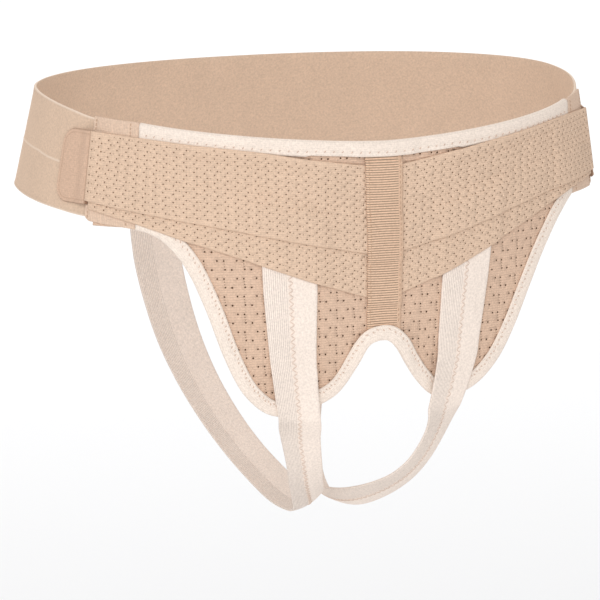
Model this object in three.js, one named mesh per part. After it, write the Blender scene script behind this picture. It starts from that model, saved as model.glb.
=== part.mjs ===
// A double-sided groin hernia belt in the shape that it has when worn: a perforated front panel
// with two lobes, two pairs of compression bands sewn under a centre webbing, a back belt, and two
// leg straps that pass between the legs. Millimetres, +Z up, the front faces -Y, and the left side
// as worn is +X. The origin is the middle of the hips at the belt's mid-height.
import * as THREE from "three";

// Outer form of the worn belt at the hip line, and how it changes with height
const HIP_HALF_WIDTH = 175;
const HIP_FRONT_DEPTH = 127;
const HIP_BACK_DEPTH = 118.8;
const SIDE_FLARE = 0.22; // half width gained for each mm down
const FRONT_LEAN = 0.1; // front depth lost for each mm down
const BACK_FLARE = 0.177; // back depth gained for each mm down
const FRONT_ROUNDNESS = 2.14; // superellipse exponents
const BACK_ROUNDNESS = 2.2;

// Walls of the cloth pieces, and the gap between two plies
const PANEL_WALL = 1.4;
const BELT_WALL = 1.6;
const BAND_WALL = 1.1;
const STRAP_WALL = 1.3;
const BINDING_WALL = 1;
const FACING_WALL = 1;
const WEBBING_WALL = 1.1;
const TAB_WALL = 1.3;
const PLY_GAP = 0.32;

// Under its stack of plies the front panel lies further in than the back belt, between these arcs
const SETTLE_FROM = 240;
const SETTLE_TO = 150;

// Front panel, as arc lengths from the front centre and heights from the hip line
const FRONT_REACH = 149; // to where the bindings meet the end facings
const TOP_CENTRE = 10.7;
const TOP_RISE = 12; // from the centre to the facings
const TOP_CURVE = 1.42; // exponent of the rise
const LOBE_DROP = 152.3; // hip line to the lobes' tips
const BINDING_WIDTH = 9.6;
const NARROW_WIDTH = 8.8; // of the top binding between the bands' top edges
const NARROW_REACH = 46; // arc to where it widens
const WIDENING = 3;

// End facings, elastic tapes over the panel's two ends
const FACING_WIDTH = 31.5;
const FACING_DROP = { right: 39, left: 35 };
const FACING_RISE = 1.8; // of the top edge, outwards
const FACING_CANT = { right: 3.4, left: 0.5 }; // rise of the bottom edge, outwards
const FACING_CORNER = 4;
const PANEL_TUCK = 5; // the panel stops this far short of the facing's outer edge

// Compression bands and the hook tabs under their outer ends
const BAND_REACH = 179.5;
const BAND_DROP = 84; // hip line to the lower bands' point at the centre
const BAND_OVERLAP = 14; // lower band hidden under the upper
const TAB_OUT = 25; // tab beyond the band's end
const TAB_IN = 1; // tab under the band's end
const TAB_HEIGHT = 42.4;
const TAB_CENTRE = { right: -5.2, left: -8.4 };
const TAB_CORNER = 9;

// Centre webbing
const WEBBING_WIDTH = 23;
const WEBBING_SKEW = 0.053; // arc gained to the left for each mm down
const WEBBING_LEVEL = -45; // height at which the webbing crosses the front centre
const WEBBING_TUCK = 6; // of its ends under the bindings

// Back belt
const BELT_WIDTH = 60;
const BELT_TUCK = 30; // belt under the panel's end

// Leg straps
const STRAP_WIDTH = 33.5;
const STRAP_SPREAD = 61.4; // arc from the front centre at the hip line
const STRAP_TAPER = 0.035; // arc lost for each mm down
const STRAP_TOP = -44; // hidden top end, under the lower band
const STRAP_NECK = 0.79; // share of the width left at the lobe's tip
const STRAP_BEND = -108; // height below which the strap draws inwards and lifts
const STRAP_DRAW = { right: 1.8, left: 7.5 }; // inwards, by the lobe's tip
const STRAP_LIFT = 4.5; // of its inner edge off the lobe, there
const REAR_SPREAD = 62.6; // arc from the back centre at the hip line
const REAR_TAPER = 0.07;
const REAR_TOP = 9; // rear end on the back belt
const REAR_LOW = -45; // where the strap leaves the back belt's form
const CROTCH_DROP = 229;

// Ramps where one ply climbs over another
const RAMP = 9;
const RAMP_MARGIN = 1.5;

// Steps between facets, and the share of a step under which two stations are one
const STEP = 10;
const BINDING_STEP = 9;
const CROWDED = 0.25;
const PROBE = 0.5; // step for slopes and normals
const EDGE_SAMPLES = 600; // fine steps along an edge when its length is measured

// The panel's lower outline: across is a share of FRONT_REACH, and right and left, the drops on
// either side as worn, of LOBE_DROP
const LOWER_OUTLINE = [
  { across: 0, right: 0.716, left: 0.716 },
  { across: 0.045, right: 0.735, left: 0.721 },
  { across: 0.09, right: 0.803, left: 0.758 },
  { across: 0.137, right: 0.873, left: 0.823 },
  { across: 0.19, right: 0.924, left: 0.888 },
  { across: 0.265, right: 0.96, left: 0.952 },
  { across: 0.34, right: 0.986, left: 0.973 },
  { across: 0.42, right: 0.999, left: 0.964 },
  { across: 0.49, right: 0.988, left: 0.937 },
  { across: 0.55, right: 0.949, left: 0.892 },
  { across: 0.61, right: 0.876, left: 0.821 },
  { across: 0.67, right: 0.745, left: 0.709 },
  { across: 0.73, right: 0.572, left: 0.573 },
  { across: 0.8, right: 0.413, left: 0.437 },
  { across: 0.88, right: 0.312, left: 0.328 },
  { across: 0.95, right: 0.271, left: 0.265 },
  { across: 1, right: 0.26, left: 0.232 },
];

// The bands' edges: along is a share of BAND_REACH, heights are shares of BAND_DROP. top and seam
// bound the upper band, and hem is the lower band's lower edge. The left side is worn higher.
const BAND_EDGES = {
  right: [
    { along: 0, top: -0.048, seam: -0.679, hem: -1 },
    { along: 0.07, top: -0.036, seam: -0.657, hem: -0.97 },
    { along: 0.25, top: 0.018, seam: -0.579, hem: -0.848 },
    { along: 0.43, top: 0.083, seam: -0.498, hem: -0.71 },
    { along: 0.67, top: 0.137, seam: -0.398, hem: -0.535 },
    { along: 0.81, top: 0.165, seam: -0.348, hem: -0.436 },
    { along: 1, top: 0.19, seam: -0.289, hem: -0.338 },
  ],
  left: [
    { along: 0, top: -0.048, seam: -0.679, hem: -1 },
    { along: 0.07, top: -0.034, seam: -0.656, hem: -0.969 },
    { along: 0.25, top: 0.03, seam: -0.567, hem: -0.836 },
    { along: 0.43, top: 0.088, seam: -0.464, hem: -0.672 },
    { along: 0.67, top: 0.148, seam: -0.354, hem: -0.464 },
    { along: 0.81, top: 0.163, seam: -0.32, hem: -0.374 },
    { along: 1, top: 0.154, seam: -0.294, hem: -0.325 },
  ],
};
const sideOf = (arc) => (arc < 0 ? "right" : "left");

// The back belt's edges: along is a share of the way from its end to the back centre,
// heights are shares of BELT_WIDTH
const BELT_EDGES = [
  { along: 0, top: 0.35, bottom: -0.59 },
  { along: 0.1, top: 0.387, bottom: -0.56 },
  { along: 0.163, top: 0.44, bottom: -0.523 },
  { along: 0.25, top: 0.492, bottom: -0.487 },
  { along: 0.353, top: 0.522, bottom: -0.467 },
  { along: 0.553, top: 0.53, bottom: -0.465 },
  { along: 0.768, top: 0.53, bottom: -0.47 },
  { along: 1, top: 0.53, bottom: -0.47 },
];

// The strap's free stretch, from the lobe's tip to the back: out is a share of STRAP_SPREAD, back
// of HIP_FRONT_DEPTH, drop of CROTCH_DROP, width of STRAP_WIDTH. In degrees, lean lowers the outer
// edge and turn moves it back. cup, a share of the width, bends both edges inwards.
const STRAP_ROUTE = [
  { out: 0.72, back: -0.793, drop: 0.725, width: 0.715, lean: 6, turn: 33.5, cup: 0.03 },
  { out: 0.63, back: -0.727, drop: 0.807, width: 0.635, lean: 6, turn: 31, cup: 0.06 },
  { out: 0.52, back: -0.623, drop: 0.876, width: 0.6, lean: 12, turn: 23.5, cup: 0.08 },
  { out: 0.39, back: -0.492, drop: 0.928, width: 0.6, lean: 21.5, turn: 14.5, cup: 0.1 },
  { out: 0.255, back: -0.328, drop: 0.97, width: 0.62, lean: 30.5, turn: 7.5, cup: 0.12 },
  { out: 0.19, back: -0.152, drop: 0.992, width: 0.64, lean: 35, turn: 1.5, cup: 0.12 },
  { out: 0.19, back: 0.08, drop: 0.996, width: 0.64, lean: 35, turn: -3, cup: 0.12 },
  { out: 0.225, back: 0.27, drop: 0.975, width: 0.66, lean: 30, turn: -6, cup: 0.12 },
  { out: 0.32, back: 0.465, drop: 0.927, width: 0.7, lean: 22, turn: -8, cup: 0.1 },
  { out: 0.45, back: 0.64, drop: 0.853, width: 0.77, lean: 14, turn: -10, cup: 0.08 },
  { out: 0.59, back: 0.785, drop: 0.757, width: 0.85, lean: 8, turn: -11, cup: 0.06 },
  { out: 0.715, back: 0.892, drop: 0.645, width: 0.93, lean: 4, turn: -11, cup: 0.04 },
  { out: 0.81, back: 0.956, drop: 0.525, width: 0.98, lean: 2, turn: -11, cup: 0.02 },
  { out: 0.885, back: 0.98, drop: 0.41, width: 1, lean: 0, turn: -10, cup: 0.01 },
  { out: 0.932, back: 0.976, drop: 0.3, width: 1, lean: 0, turn: -10, cup: 0 },
];
const STRAP_START = { width: STRAP_NECK, lean: 0, turn: 21, cup: 0 }; // as it leaves the lobe
const SQUARED_ROW = 4; // where its stations have come square to its run
const STRAP_SEGMENTS = 4; // facets across a strap
const ROUTE_SUBSTEPS = 2; // stations for each row of the route
const ROW_PROBE = 0.1; // share of a row, for directions

// Distances of each ply's inner side from the panel's inner side
const ON_BELT = 0;
const ON_PANEL = PANEL_WALL + PLY_GAP;
const ON_FACING = ON_PANEL + FACING_WALL + PLY_GAP;
const ON_BINDING = ON_PANEL + BINDING_WALL + PLY_GAP;
const UNDER_PANEL = -PLY_GAP - BELT_WALL;
const BAND_PLY = BAND_WALL + PLY_GAP;
const STRAP_PLY = STRAP_WALL + PLY_GAP;
const TAB_PLY = TAB_WALL + PLY_GAP;
const STACK = ON_FACING + BAND_PLY; // from the panel's inner side to the outer form

// Smooth interpolation of one column of a table over another, by cubic Hermite spans
function lookUp(table, key, column, x) {
  const last = table.length - 1;
  let i = 0;
  while (i < last - 1 && x > table[i + 1][key]) i++;
  const slope = (k) => {
    const a = table[Math.max(k - 1, 0)];
    const b = table[Math.min(k + 1, last)];
    return (b[column] - a[column]) / (b[key] - a[key]);
  };
  const span = table[i + 1][key] - table[i][key];
  const t = THREE.MathUtils.clamp((x - table[i][key]) / span, 0, 1);
  const t2 = t * t;
  const t3 = t2 * t;
  return (
    (2 * t3 - 3 * t2 + 1) * table[i][column] +
    (t3 - 2 * t2 + t) * span * slope(i) +
    (3 * t2 - 2 * t3) * table[i + 1][column] +
    (t3 - t2) * span * slope(i + 1)
  );
}

// Straight-line interpolation through [x, y] knots
function ramp(knots, x) {
  if (x <= knots[0][0]) return knots[0][1];
  for (let i = 1; i < knots.length; i++) {
    const [x0, y0] = knots[i - 1];
    const [x1, y1] = knots[i];
    if (x <= x1) return y0 + ((y1 - y0) * (x - x0)) / (x1 - x0);
  }
  return knots[knots.length - 1][1];
}

// Evenly spaced values from a to b, with the knots that lie between them added
function stations(a, b, step, knots = []) {
  const count = Math.max(1, Math.ceil((b - a) / step));
  const even = Array.from({ length: count + 1 }, (_, i) => a + ((b - a) * i) / count);
  const inside = knots.filter((k) => k > a && k < b);
  const crowded = (v) => v !== a && v !== b && inside.some((k) => Math.abs(k - v) < step * CROWDED);
  return [...even.filter((v) => !crowded(v)), ...inside].sort((p, q) => p - q);
}

// Hip section at a height: the distance from the axis at an angle from the front centre
function hipRadius(angle, z) {
  const side = Math.abs(Math.sin(angle)) / (HIP_HALF_WIDTH - SIDE_FLARE * z);
  const ahead = Math.cos(angle) > 0;
  const depth = ahead ? HIP_FRONT_DEPTH + FRONT_LEAN * z : HIP_BACK_DEPTH - BACK_FLARE * z;
  const power = ahead ? FRONT_ROUNDNESS : BACK_ROUNDNESS;
  const along = Math.abs(Math.cos(angle)) / depth;
  return (side ** power + along ** power) ** (-1 / power);
}

// Arc length from the front centre along the hip line, and the angle that it reaches
const ARC_STEPS = 2000;
const ARC = [0];
for (let i = 1; i <= ARC_STEPS; i++) {
  const at = (k) => (Math.PI * k) / ARC_STEPS;
  const [r0, r1] = [hipRadius(at(i - 1), 0), hipRadius(at(i), 0)];
  const dx = r1 * Math.sin(at(i)) - r0 * Math.sin(at(i - 1));
  const dy = r1 * Math.cos(at(i)) - r0 * Math.cos(at(i - 1));
  ARC.push(ARC[i - 1] + Math.hypot(dx, dy));
}
const HALF_GIRTH = ARC[ARC_STEPS];

function angleAt(arc) {
  const s = Math.min(Math.abs(arc), 2 * HALF_GIRTH - Math.abs(arc));
  let [low, high] = [0, ARC_STEPS];
  while (high - low > 1) {
    const middle = (low + high) >> 1;
    if (ARC[middle] <= s) low = middle;
    else high = middle;
  }
  const share = low + (s - ARC[low]) / (ARC[high] - ARC[low]);
  const angle = (Math.PI * share) / ARC_STEPS;
  return Math.sign(arc || 1) * (Math.abs(arc) > HALF_GIRTH ? 2 * Math.PI - angle : angle);
}

function hipPoint(arc, z) {
  const angle = angleAt(arc);
  const r = hipRadius(angle, z);
  return new THREE.Vector3(r * Math.sin(angle), -r * Math.cos(angle), z);
}

// A point at an arc length and height, a distance out from the panel's inner side
function skin(arc, z, out) {
  const fromFront = Math.min(Math.abs(arc), 2 * HALF_GIRTH - Math.abs(arc));
  const settled = STACK * (1 - THREE.MathUtils.smoothstep(fromFront, SETTLE_TO, SETTLE_FROM));
  const east = hipPoint(arc + PROBE, z).sub(hipPoint(arc - PROBE, z));
  const up = hipPoint(arc, z + PROBE).sub(hipPoint(arc, z - PROBE));
  return hipPoint(arc, z).addScaledVector(east.cross(up).normalize(), out - settled);
}

// A closed cloth strip lofted through sections, each with as many points on its outer side as on
// its inner side, run from right to left as seen from outside
function strip(sections) {
  const width = sections[0].outer.length;
  const points = sections.flatMap((s) => [...s.outer, ...s.inner]);
  const outer = (i, j) => i * 2 * width + j;
  const inner = (i, j) => i * 2 * width + width + j;
  const faces = [];
  const quad = (a, b, c, d) => faces.push(a, b, c, a, c, d);
  for (let i = 0; i < sections.length - 1; i++) {
    for (let j = 0; j < width - 1; j++) {
      quad(outer(i, j), outer(i + 1, j), outer(i + 1, j + 1), outer(i, j + 1));
      quad(inner(i, j), inner(i, j + 1), inner(i + 1, j + 1), inner(i + 1, j));
    }
    quad(outer(i, 0), inner(i, 0), inner(i + 1, 0), outer(i + 1, 0));
    quad(outer(i, width - 1), outer(i + 1, width - 1), inner(i + 1, width - 1), inner(i, width - 1));
  }
  const end = sections.length - 1;
  for (let j = 0; j < width - 1; j++) {
    quad(outer(0, j), outer(0, j + 1), inner(0, j + 1), inner(0, j));
    quad(outer(end, j), inner(end, j), inner(end, j + 1), outer(end, j + 1));
  }
  const geometry = new THREE.BufferGeometry();
  const numbers = points.flatMap((p) => p.toArray());
  geometry.setAttribute("position", new THREE.Float32BufferAttribute(numbers, 3));
  geometry.setIndex(faces);
  geometry.computeVertexNormals();
  return geometry;
}

// A ply on the hips: columns are arc lengths, heights(arc) lists its rows from bottom to top, and
// out(arc, row) is its inner side's distance from the hips
function ply(columns, heights, out, wall) {
  return strip(
    columns.map((arc) => {
      const rows = heights(arc);
      return {
        outer: rows.map((z, j) => skin(arc, z, out(arc, j) + wall)),
        inner: rows.map((z, j) => skin(arc, z, out(arc, j))),
      };
    }),
  );
}

const rowsBetween = (low, high, count) =>
  Array.from({ length: count + 1 }, (_, i) => low + ((high - low) * i) / count);
const mirrored = (columns, side) => (side > 0 ? columns : columns.map((c) => -c).reverse());

// The panel's outline in the flat: the folded edges of its bindings
const topEdge = (arc) => TOP_CENTRE + TOP_RISE * (Math.abs(arc) / FRONT_REACH) ** TOP_CURVE;

function lowerEdge(arc) {
  return -LOBE_DROP * lookUp(LOWER_OUTLINE, "across", sideOf(arc), Math.abs(arc) / FRONT_REACH);
}

// Arc lengths that divide an edge into equal steps along its own length, with its unit
// direction into the cloth
function edgeStations(edge, from, to, step, inward) {
  const run = [[0, from]]; // length along the edge, arc
  for (let i = 1; i <= EDGE_SAMPLES; i++) {
    const arc = from + ((to - from) * i) / EDGE_SAMPLES;
    const [length, before] = run[i - 1];
    run.push([length + Math.hypot(arc - before, edge(arc) - edge(before)), arc]);
  }
  const total = run[EDGE_SAMPLES][0];
  const count = Math.ceil(total / step);
  return Array.from({ length: count + 1 }, (_, k) => {
    const arc = ramp(run, (total * k) / count);
    const [left, right] = [Math.max(arc - PROBE, from), Math.min(arc + PROBE, to)];
    const slope = (edge(right) - edge(left)) / (right - left);
    const size = Math.hypot(1, slope);
    const flat = k === 0 || k === count ? 0 : 1; // square ends against the facings
    return {
      arc,
      z: edge(arc),
      dArc: (-inward * slope * flat) / size,
      dZ: flat ? inward / size : inward,
    };
  });
}

// The webbing's middle at a height
const webbingMiddle = (z) => WEBBING_SKEW * (WEBBING_LEVEL - z);

// A folded binding: a U section round the panel's edge, lifted where the webbing's end is under it
const LIFT_REACH = WEBBING_WIDTH / 2 + 3 * RAMP_MARGIN;
const liftKnots = [
  [LIFT_REACH, 1],
  [LIFT_REACH + RAMP, 0],
];
const webbingLift = (arc, z) =>
  (WEBBING_WALL + PLY_GAP) * ramp(liftKnots, Math.abs(arc - webbingMiddle(z)));

const BINDING_END = FRONT_REACH - PLY_GAP;
const bindingStations = (edge, inward) =>
  edgeStations(edge, -BINDING_END, BINDING_END, BINDING_STEP, inward);
const lowerWidth = () => BINDING_WIDTH;
const widthKnots = [
  [NARROW_REACH, NARROW_WIDTH],
  [NARROW_REACH + WIDENING, BINDING_WIDTH],
];
const topWidth = (arc) => ramp(widthKnots, Math.abs(arc));

function binding(edge, inward, widthAt) {
  const at = (station, depth, out, lifted) => {
    const arc = station.arc + station.dArc * depth;
    const z = station.z + station.dZ * depth;
    return skin(arc, z, out + (lifted ? webbingLift(arc, z) : 0));
  };
  const sections = bindingStations(edge, inward).map((s) => {
    const width = widthAt(s.arc);
    const outside = [
      at(s, width, ON_PANEL + BINDING_WALL, true),
      at(s, 0, ON_PANEL + BINDING_WALL, true),
      at(s, 0, -PLY_GAP - BINDING_WALL, false),
      at(s, width, -PLY_GAP - BINDING_WALL, false),
    ];
    const inside = [
      at(s, width, ON_PANEL, true),
      at(s, BINDING_WALL, ON_PANEL, true),
      at(s, BINDING_WALL, -PLY_GAP, false),
      at(s, width, -PLY_GAP, false),
    ];
    // a section runs upwards along the front, so at a lower edge it starts from the back
    return inward > 0
      ? { outer: outside.reverse(), inner: inside.reverse() }
      : { outer: outside, inner: inside };
  });
  return strip(sections);
}

// The front panel, whose edges stop inside the bindings' folds
const PANEL_ROWS = 6;
function frontPanel() {
  const inset = BINDING_WALL + PLY_GAP;
  const end = FRONT_REACH + FACING_WIDTH - PANEL_TUCK;
  const lower = bindingStations(lowerEdge, 1).map((s) => ({
    arc: s.arc + s.dArc * inset,
    low: s.z + s.dZ * inset,
  }));
  const tail = (side) => {
    const low = lowerEdge(side * FRONT_REACH) + inset;
    return mirrored(stations(FRONT_REACH + PLY_GAP, end, STEP), side).map((arc) => ({ arc, low }));
  };
  const columns = [...tail(-1), ...lower, ...tail(1)];
  return strip(
    columns.map(({ arc, low }) => {
      const high = topEdge(Math.min(Math.abs(arc), FRONT_REACH)) - inset;
      const rows = rowsBetween(low, high, PANEL_ROWS);
      return {
        outer: rows.map((z) => skin(arc, z, PANEL_WALL)),
        inner: rows.map((z) => skin(arc, z, 0)),
      };
    }),
  );
}

// Heights of the bands' edges at an arc length
const bandEdge = (column, arc) =>
  BAND_DROP * lookUp(BAND_EDGES[sideOf(arc)], "along", column, Math.abs(arc) / BAND_REACH);

// What the bands climb over: the strap's top end, the bindings, the facing and the hook tab
const STRAP_AT_HEM = STRAP_SPREAD + STRAP_TAPER * bandEdge("hem", STRAP_SPREAD);
const STRAP_FLAT = STRAP_WIDTH / 2 + RAMP_MARGIN;
const strapKnots = [
  [STRAP_AT_HEM - STRAP_FLAT - RAMP, 0],
  [STRAP_AT_HEM - STRAP_FLAT, STRAP_PLY],
  [STRAP_AT_HEM + STRAP_FLAT, STRAP_PLY],
  [STRAP_AT_HEM + STRAP_FLAT + RAMP, 0],
];
const overStrap = (arc) => ramp(strapKnots, Math.abs(arc));
const BINDING_RIM = edgeStations(lowerEdge, -BINDING_END, BINDING_END, 1, 1).map((s) => ({
  arc: s.arc + s.dArc * BINDING_WIDTH,
  z: s.z + s.dZ * BINDING_WIDTH,
}));
const underHem = BINDING_RIM.filter((rim) => rim.z < bandEdge("hem", rim.arc));
const endKnots = (side) => {
  const entry = Math.max(...underHem.map((rim) => side * rim.arc)) - RAMP_MARGIN;
  return [
    [entry - RAMP, ON_PANEL],
    [entry, Math.max(ON_BINDING, ON_FACING)],
  ];
};
const TAB_START = BAND_REACH - TAB_IN;
const tabKnots = [
  [TAB_START - RAMP_MARGIN - RAMP, 0],
  [TAB_START - RAMP_MARGIN, TAB_PLY],
];
const END_RAMPS = { right: endKnots(-1), left: endKnots(1) };
const bandBase = (arc) => ramp(END_RAMPS[sideOf(arc)], Math.abs(arc));
const coverOfTopBinding = (arc) => bandEdge("top", arc) - (topEdge(arc) - topWidth(arc));
const deepestCover = Math.max(...stations(-FRONT_REACH, FRONT_REACH, 1).map(coverOfTopBinding));
const coverKnots = [
  [-2 * RAMP_MARGIN, ON_PANEL],
  [-RAMP_MARGIN / 2, ON_BINDING],
];
const overTopBinding = (arc) => ramp(coverKnots, coverOfTopBinding(arc));
const bandColumns = (end, side) => {
  const knots = [...strapKnots, ...END_RAMPS[sideOf(side)], ...tabKnots, ...widthKnots];
  return mirrored(stations(PLY_GAP, end, STEP, knots.map((knot) => knot[0])), side);
};

const LOWER_BAND_ROWS = 2;

function lowerBand(side) {
  return ply(
    bandColumns(TAB_START - PLY_GAP, side),
    (arc) => rowsBetween(bandEdge("hem", arc), bandEdge("seam", arc) + BAND_OVERLAP, LOWER_BAND_ROWS),
    (arc) => bandBase(arc) + overStrap(arc),
    BAND_WALL,
  );
}

function upperBand(side) {
  const overLower = [1, 1, 0, 0, 0, 0];
  const overBinding = [0, 0, 0, 0, 1, 1];
  const cover = deepestCover + RAMP_MARGIN;
  return ply(
    bandColumns(BAND_REACH, side),
    (arc) => {
      const [seam, top] = [bandEdge("seam", arc), bandEdge("top", arc)];
      const over = seam + BAND_OVERLAP + RAMP_MARGIN;
      return [seam, over, over + RAMP, top - cover - RAMP / 2, top - cover, top];
    },
    (arc, row) => {
      const climb = overLower[row] * (overStrap(arc) + BAND_PLY);
      const base = overBinding[row] ? Math.max(bandBase(arc), overTopBinding(arc)) : bandBase(arc);
      return base + Math.max(ramp(tabKnots, Math.abs(arc)), climb);
    },
    BAND_WALL,
  );
}

// Arc lengths at which a rounded corner is faceted, and how far its edge has turned in there
const STRIP_ROWS = 3;
const CORNER_ANGLES = [0, 18, 36, 58];
const cornerKnots = (end, radius) =>
  CORNER_ANGLES.map((angle) => end - radius * (1 - Math.sin(THREE.MathUtils.degToRad(angle))));
const turnedIn = (arc, end, radius) => {
  const past = Math.max(0, Math.abs(arc) - end + radius);
  return radius - Math.sqrt(Math.max(0, radius ** 2 - past ** 2));
};

// The hook tab, which steps down from under the band's end onto the back belt
function hookTab(side) {
  const end = BAND_REACH + TAB_OUT;
  const facingEnd = FRONT_REACH + FACING_WIDTH + RAMP_MARGIN;
  const down = [
    [facingEnd, ON_FACING],
    [facingEnd + RAMP, ON_BELT],
  ];
  const knots = [...down.map((knot) => knot[0]), ...cornerKnots(end, TAB_CORNER)];
  const columns = mirrored(stations(TAB_START, end, STEP, knots), side);
  const centre = TAB_CENTRE[sideOf(side)];
  const half = (arc) => TAB_HEIGHT / 2 - turnedIn(arc, end, TAB_CORNER);
  return ply(
    columns,
    (arc) => rowsBetween(centre - half(arc), centre + half(arc), STRIP_ROWS),
    (arc) => ramp(down, Math.abs(arc)),
    TAB_WALL,
  );
}

function endFacing(side) {
  const end = FRONT_REACH + FACING_WIDTH;
  const columns = mirrored(stations(FRONT_REACH, end, STEP, cornerKnots(end, FACING_CORNER)), side);
  const heights = (arc) => {
    const along = (Math.abs(arc) - FRONT_REACH) / FACING_WIDTH;
    const high = topEdge(FRONT_REACH) + FACING_RISE * along;
    const low = FACING_CANT[sideOf(arc)] * along - FACING_DROP[sideOf(arc)];
    return rowsBetween(low + turnedIn(arc, end, FACING_CORNER), high, STRIP_ROWS);
  };
  return ply(columns, heights, () => ON_PANEL, FACING_WALL);
}

// The webbing lies on the panel at its two tucked ends and climbs over the bands between them
function centreWebbing() {
  const half = WEBBING_WIDTH / 2;
  const top = TOP_CENTRE - NARROW_WIDTH + WEBBING_TUCK;
  const bottom = lowerEdge(0) + BINDING_WIDTH - WEBBING_TUCK;
  const reach = half + Math.max(...[top, bottom].map((z) => Math.abs(webbingMiddle(z))));
  const highest = (column) => Math.max(bandEdge(column, -reach), bandEdge(column, reach));
  const [hem, seam] = ["hem", "seam"].map((column) => bandEdge(column, 0));
  const overlapTop = highest("seam") + BAND_OVERLAP + RAMP_MARGIN;
  const clear = highest("top") + RAMP_MARGIN / 3;
  const level = (plies) => ON_PANEL + plies * BAND_PLY;
  const profile = [
    [bottom, level(0)],
    [hem - RAMP_MARGIN - RAMP / 2, level(0)],
    [hem - RAMP_MARGIN, level(1)],
    [seam - RAMP_MARGIN - RAMP / 2, level(1)],
    [seam - RAMP_MARGIN, level(2)],
    [overlapTop + RAMP_MARGIN, level(2)],
    [overlapTop + RAMP_MARGIN + RAMP, level(1)],
    [clear, level(1)],
    [clear + RAMP / 3, level(0)],
    [top, level(0)],
  ];
  const heights = stations(bottom, top, STEP, profile.map((knot) => knot[0]));
  const face = (offset, wall) =>
    heights.map((z) => skin(webbingMiddle(z) + offset, z, ramp(profile, z) + wall));
  return strip([-half, 0, half].map((c) => ({ outer: face(c, WEBBING_WALL), inner: face(c, 0) })));
}

// The back belt starts under the panel's one end and goes round the back to the other
function backBelt() {
  const start = FRONT_REACH + FACING_WIDTH - BELT_TUCK;
  const columns = stations(start, 2 * HALF_GIRTH - start, STEP);
  const edge = (column, arc) => {
    const along = (Math.min(arc, 2 * HALF_GIRTH - arc) - start) / (HALF_GIRTH - start);
    return BELT_WIDTH * lookUp(BELT_EDGES, "along", column, along);
  };
  return ply(
    columns,
    (arc) => rowsBetween(edge("bottom", arc), edge("top", arc), STRIP_ROWS),
    () => UNDER_PANEL,
    BELT_WALL,
  );
}

// A leg strap: on the front panel, free between the legs, then up onto the back belt. It is built
// for the left side as worn and mirrored for the right, but for its draw at the lobe's tip.
function legStrap(side) {
  const shares = rowsBetween(-0.5, 0.5, STRAP_SEGMENTS);
  const neck = [
    [-LOBE_DROP, STRAP_NECK],
    [-LOBE_DROP / 2, 1],
  ];
  const draw = STRAP_DRAW[sideOf(side)];
  const bent = (z) => (Math.max(STRAP_BEND - z, 0) / (STRAP_BEND + LOBE_DROP)) ** 2;
  const path = (z) => STRAP_SPREAD + STRAP_TAPER * z - draw * bent(z);
  const crossed = BINDING_RIM.filter(
    (rim) => Math.abs(Math.abs(rim.arc) - path(-LOBE_DROP)) < STRAP_FLAT,
  );
  const climb = Math.max(...crossed.map((rim) => rim.z)) + RAMP_MARGIN;
  const frontOut = [
    [climb, ON_BINDING],
    [climb + RAMP, ON_PANEL],
  ];
  const onHips = (arc, z, out, width, lift = 0) => {
    const face = (wall) =>
      shares.map((w) => skin(arc + w * width, z, out + lift * (0.5 - w) + wall));
    return { outer: face(STRAP_WALL), inner: face(0) };
  };
  const front = stations(-LOBE_DROP, STRAP_TOP, STEP, frontOut.map((knot) => knot[0]))
    .reverse()
    .map((z) => {
      const width = STRAP_WIDTH * ramp(neck, z);
      return onHips(path(z), z, ramp(frontOut, z), width, STRAP_LIFT * bent(z));
    });
  const rear = stations(REAR_LOW, REAR_TOP, STEP).map((z) => {
    const section = onHips(HALF_GIRTH - REAR_SPREAD - REAR_TAPER * z, z, ON_BELT, STRAP_WIDTH);
    // arcs run outwards at the front and inwards at the back
    return { outer: section.outer.reverse(), inner: section.inner.reverse() };
  });

  const middle = (section) => section.inner[STRAP_SEGMENTS / 2];
  const centres = [
    middle(front[front.length - 2]),
    middle(front[front.length - 1]),
    ...STRAP_ROUTE.map(
      (r) => new THREE.Vector3(r.out * STRAP_SPREAD, r.back * HIP_FRONT_DEPTH, -r.drop * CROTCH_DROP),
    ),
    middle(rear[0]),
    middle(rear[1]),
  ];
  const route = new THREE.CatmullRomCurve3(centres, false, "centripetal");
  const spans = centres.length - 1;
  const point = (row) => route.getPoint(row / spans);
  const table = [STRAP_START, ...STRAP_ROUTE].map((r, i) => ({ ...r, row: i + 1 }));
  const lastRow = STRAP_ROUTE.length + 1;
  const count = STRAP_ROUTE.length * ROUTE_SUBSTEPS;
  const free = [];
  for (let k = 1; k <= count; k++) {
    const row = 1 + (k * lastRow) / (count + 1);
    const centre = point(row);
    const ahead = point(row + ROW_PROBE).sub(point(row - ROW_PROBE)).normalize();
    const at = (column) => lookUp(table, "row", column, Math.min(row, lastRow));
    const [lean, turn] = ["lean", "turn"].map((column) => THREE.MathUtils.degToRad(at(column)));
    const across = new THREE.Vector3(Math.cos(turn), Math.sin(turn), -Math.tan(lean));
    const squared = THREE.MathUtils.smoothstep(row, 1, SQUARED_ROW);
    across.addScaledVector(ahead, -across.dot(ahead) * squared).normalize();
    const outward = new THREE.Vector3().crossVectors(ahead, across).normalize();
    const width = at("width") * STRAP_WIDTH;
    const sag = at("cup") * width;
    const bend = (w) => sag * (2 * w) ** 2;
    const place = (w, out) =>
      centre.clone().addScaledVector(across, w * width).addScaledVector(outward, out - bend(w));
    free.push({
      outer: shares.map((w) => place(w, STRAP_WALL)),
      inner: shares.map((w) => place(w, 0)),
    });
  }
  const sections = [...front, ...free, ...rear];
  if (side > 0) return strip(sections);
  const flip = (points) => points.map((p) => p.setX(-p.x)).reverse();
  return strip(sections.map(({ outer, inner }) => ({ outer: flip(outer), inner: flip(inner) })));
}

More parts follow.
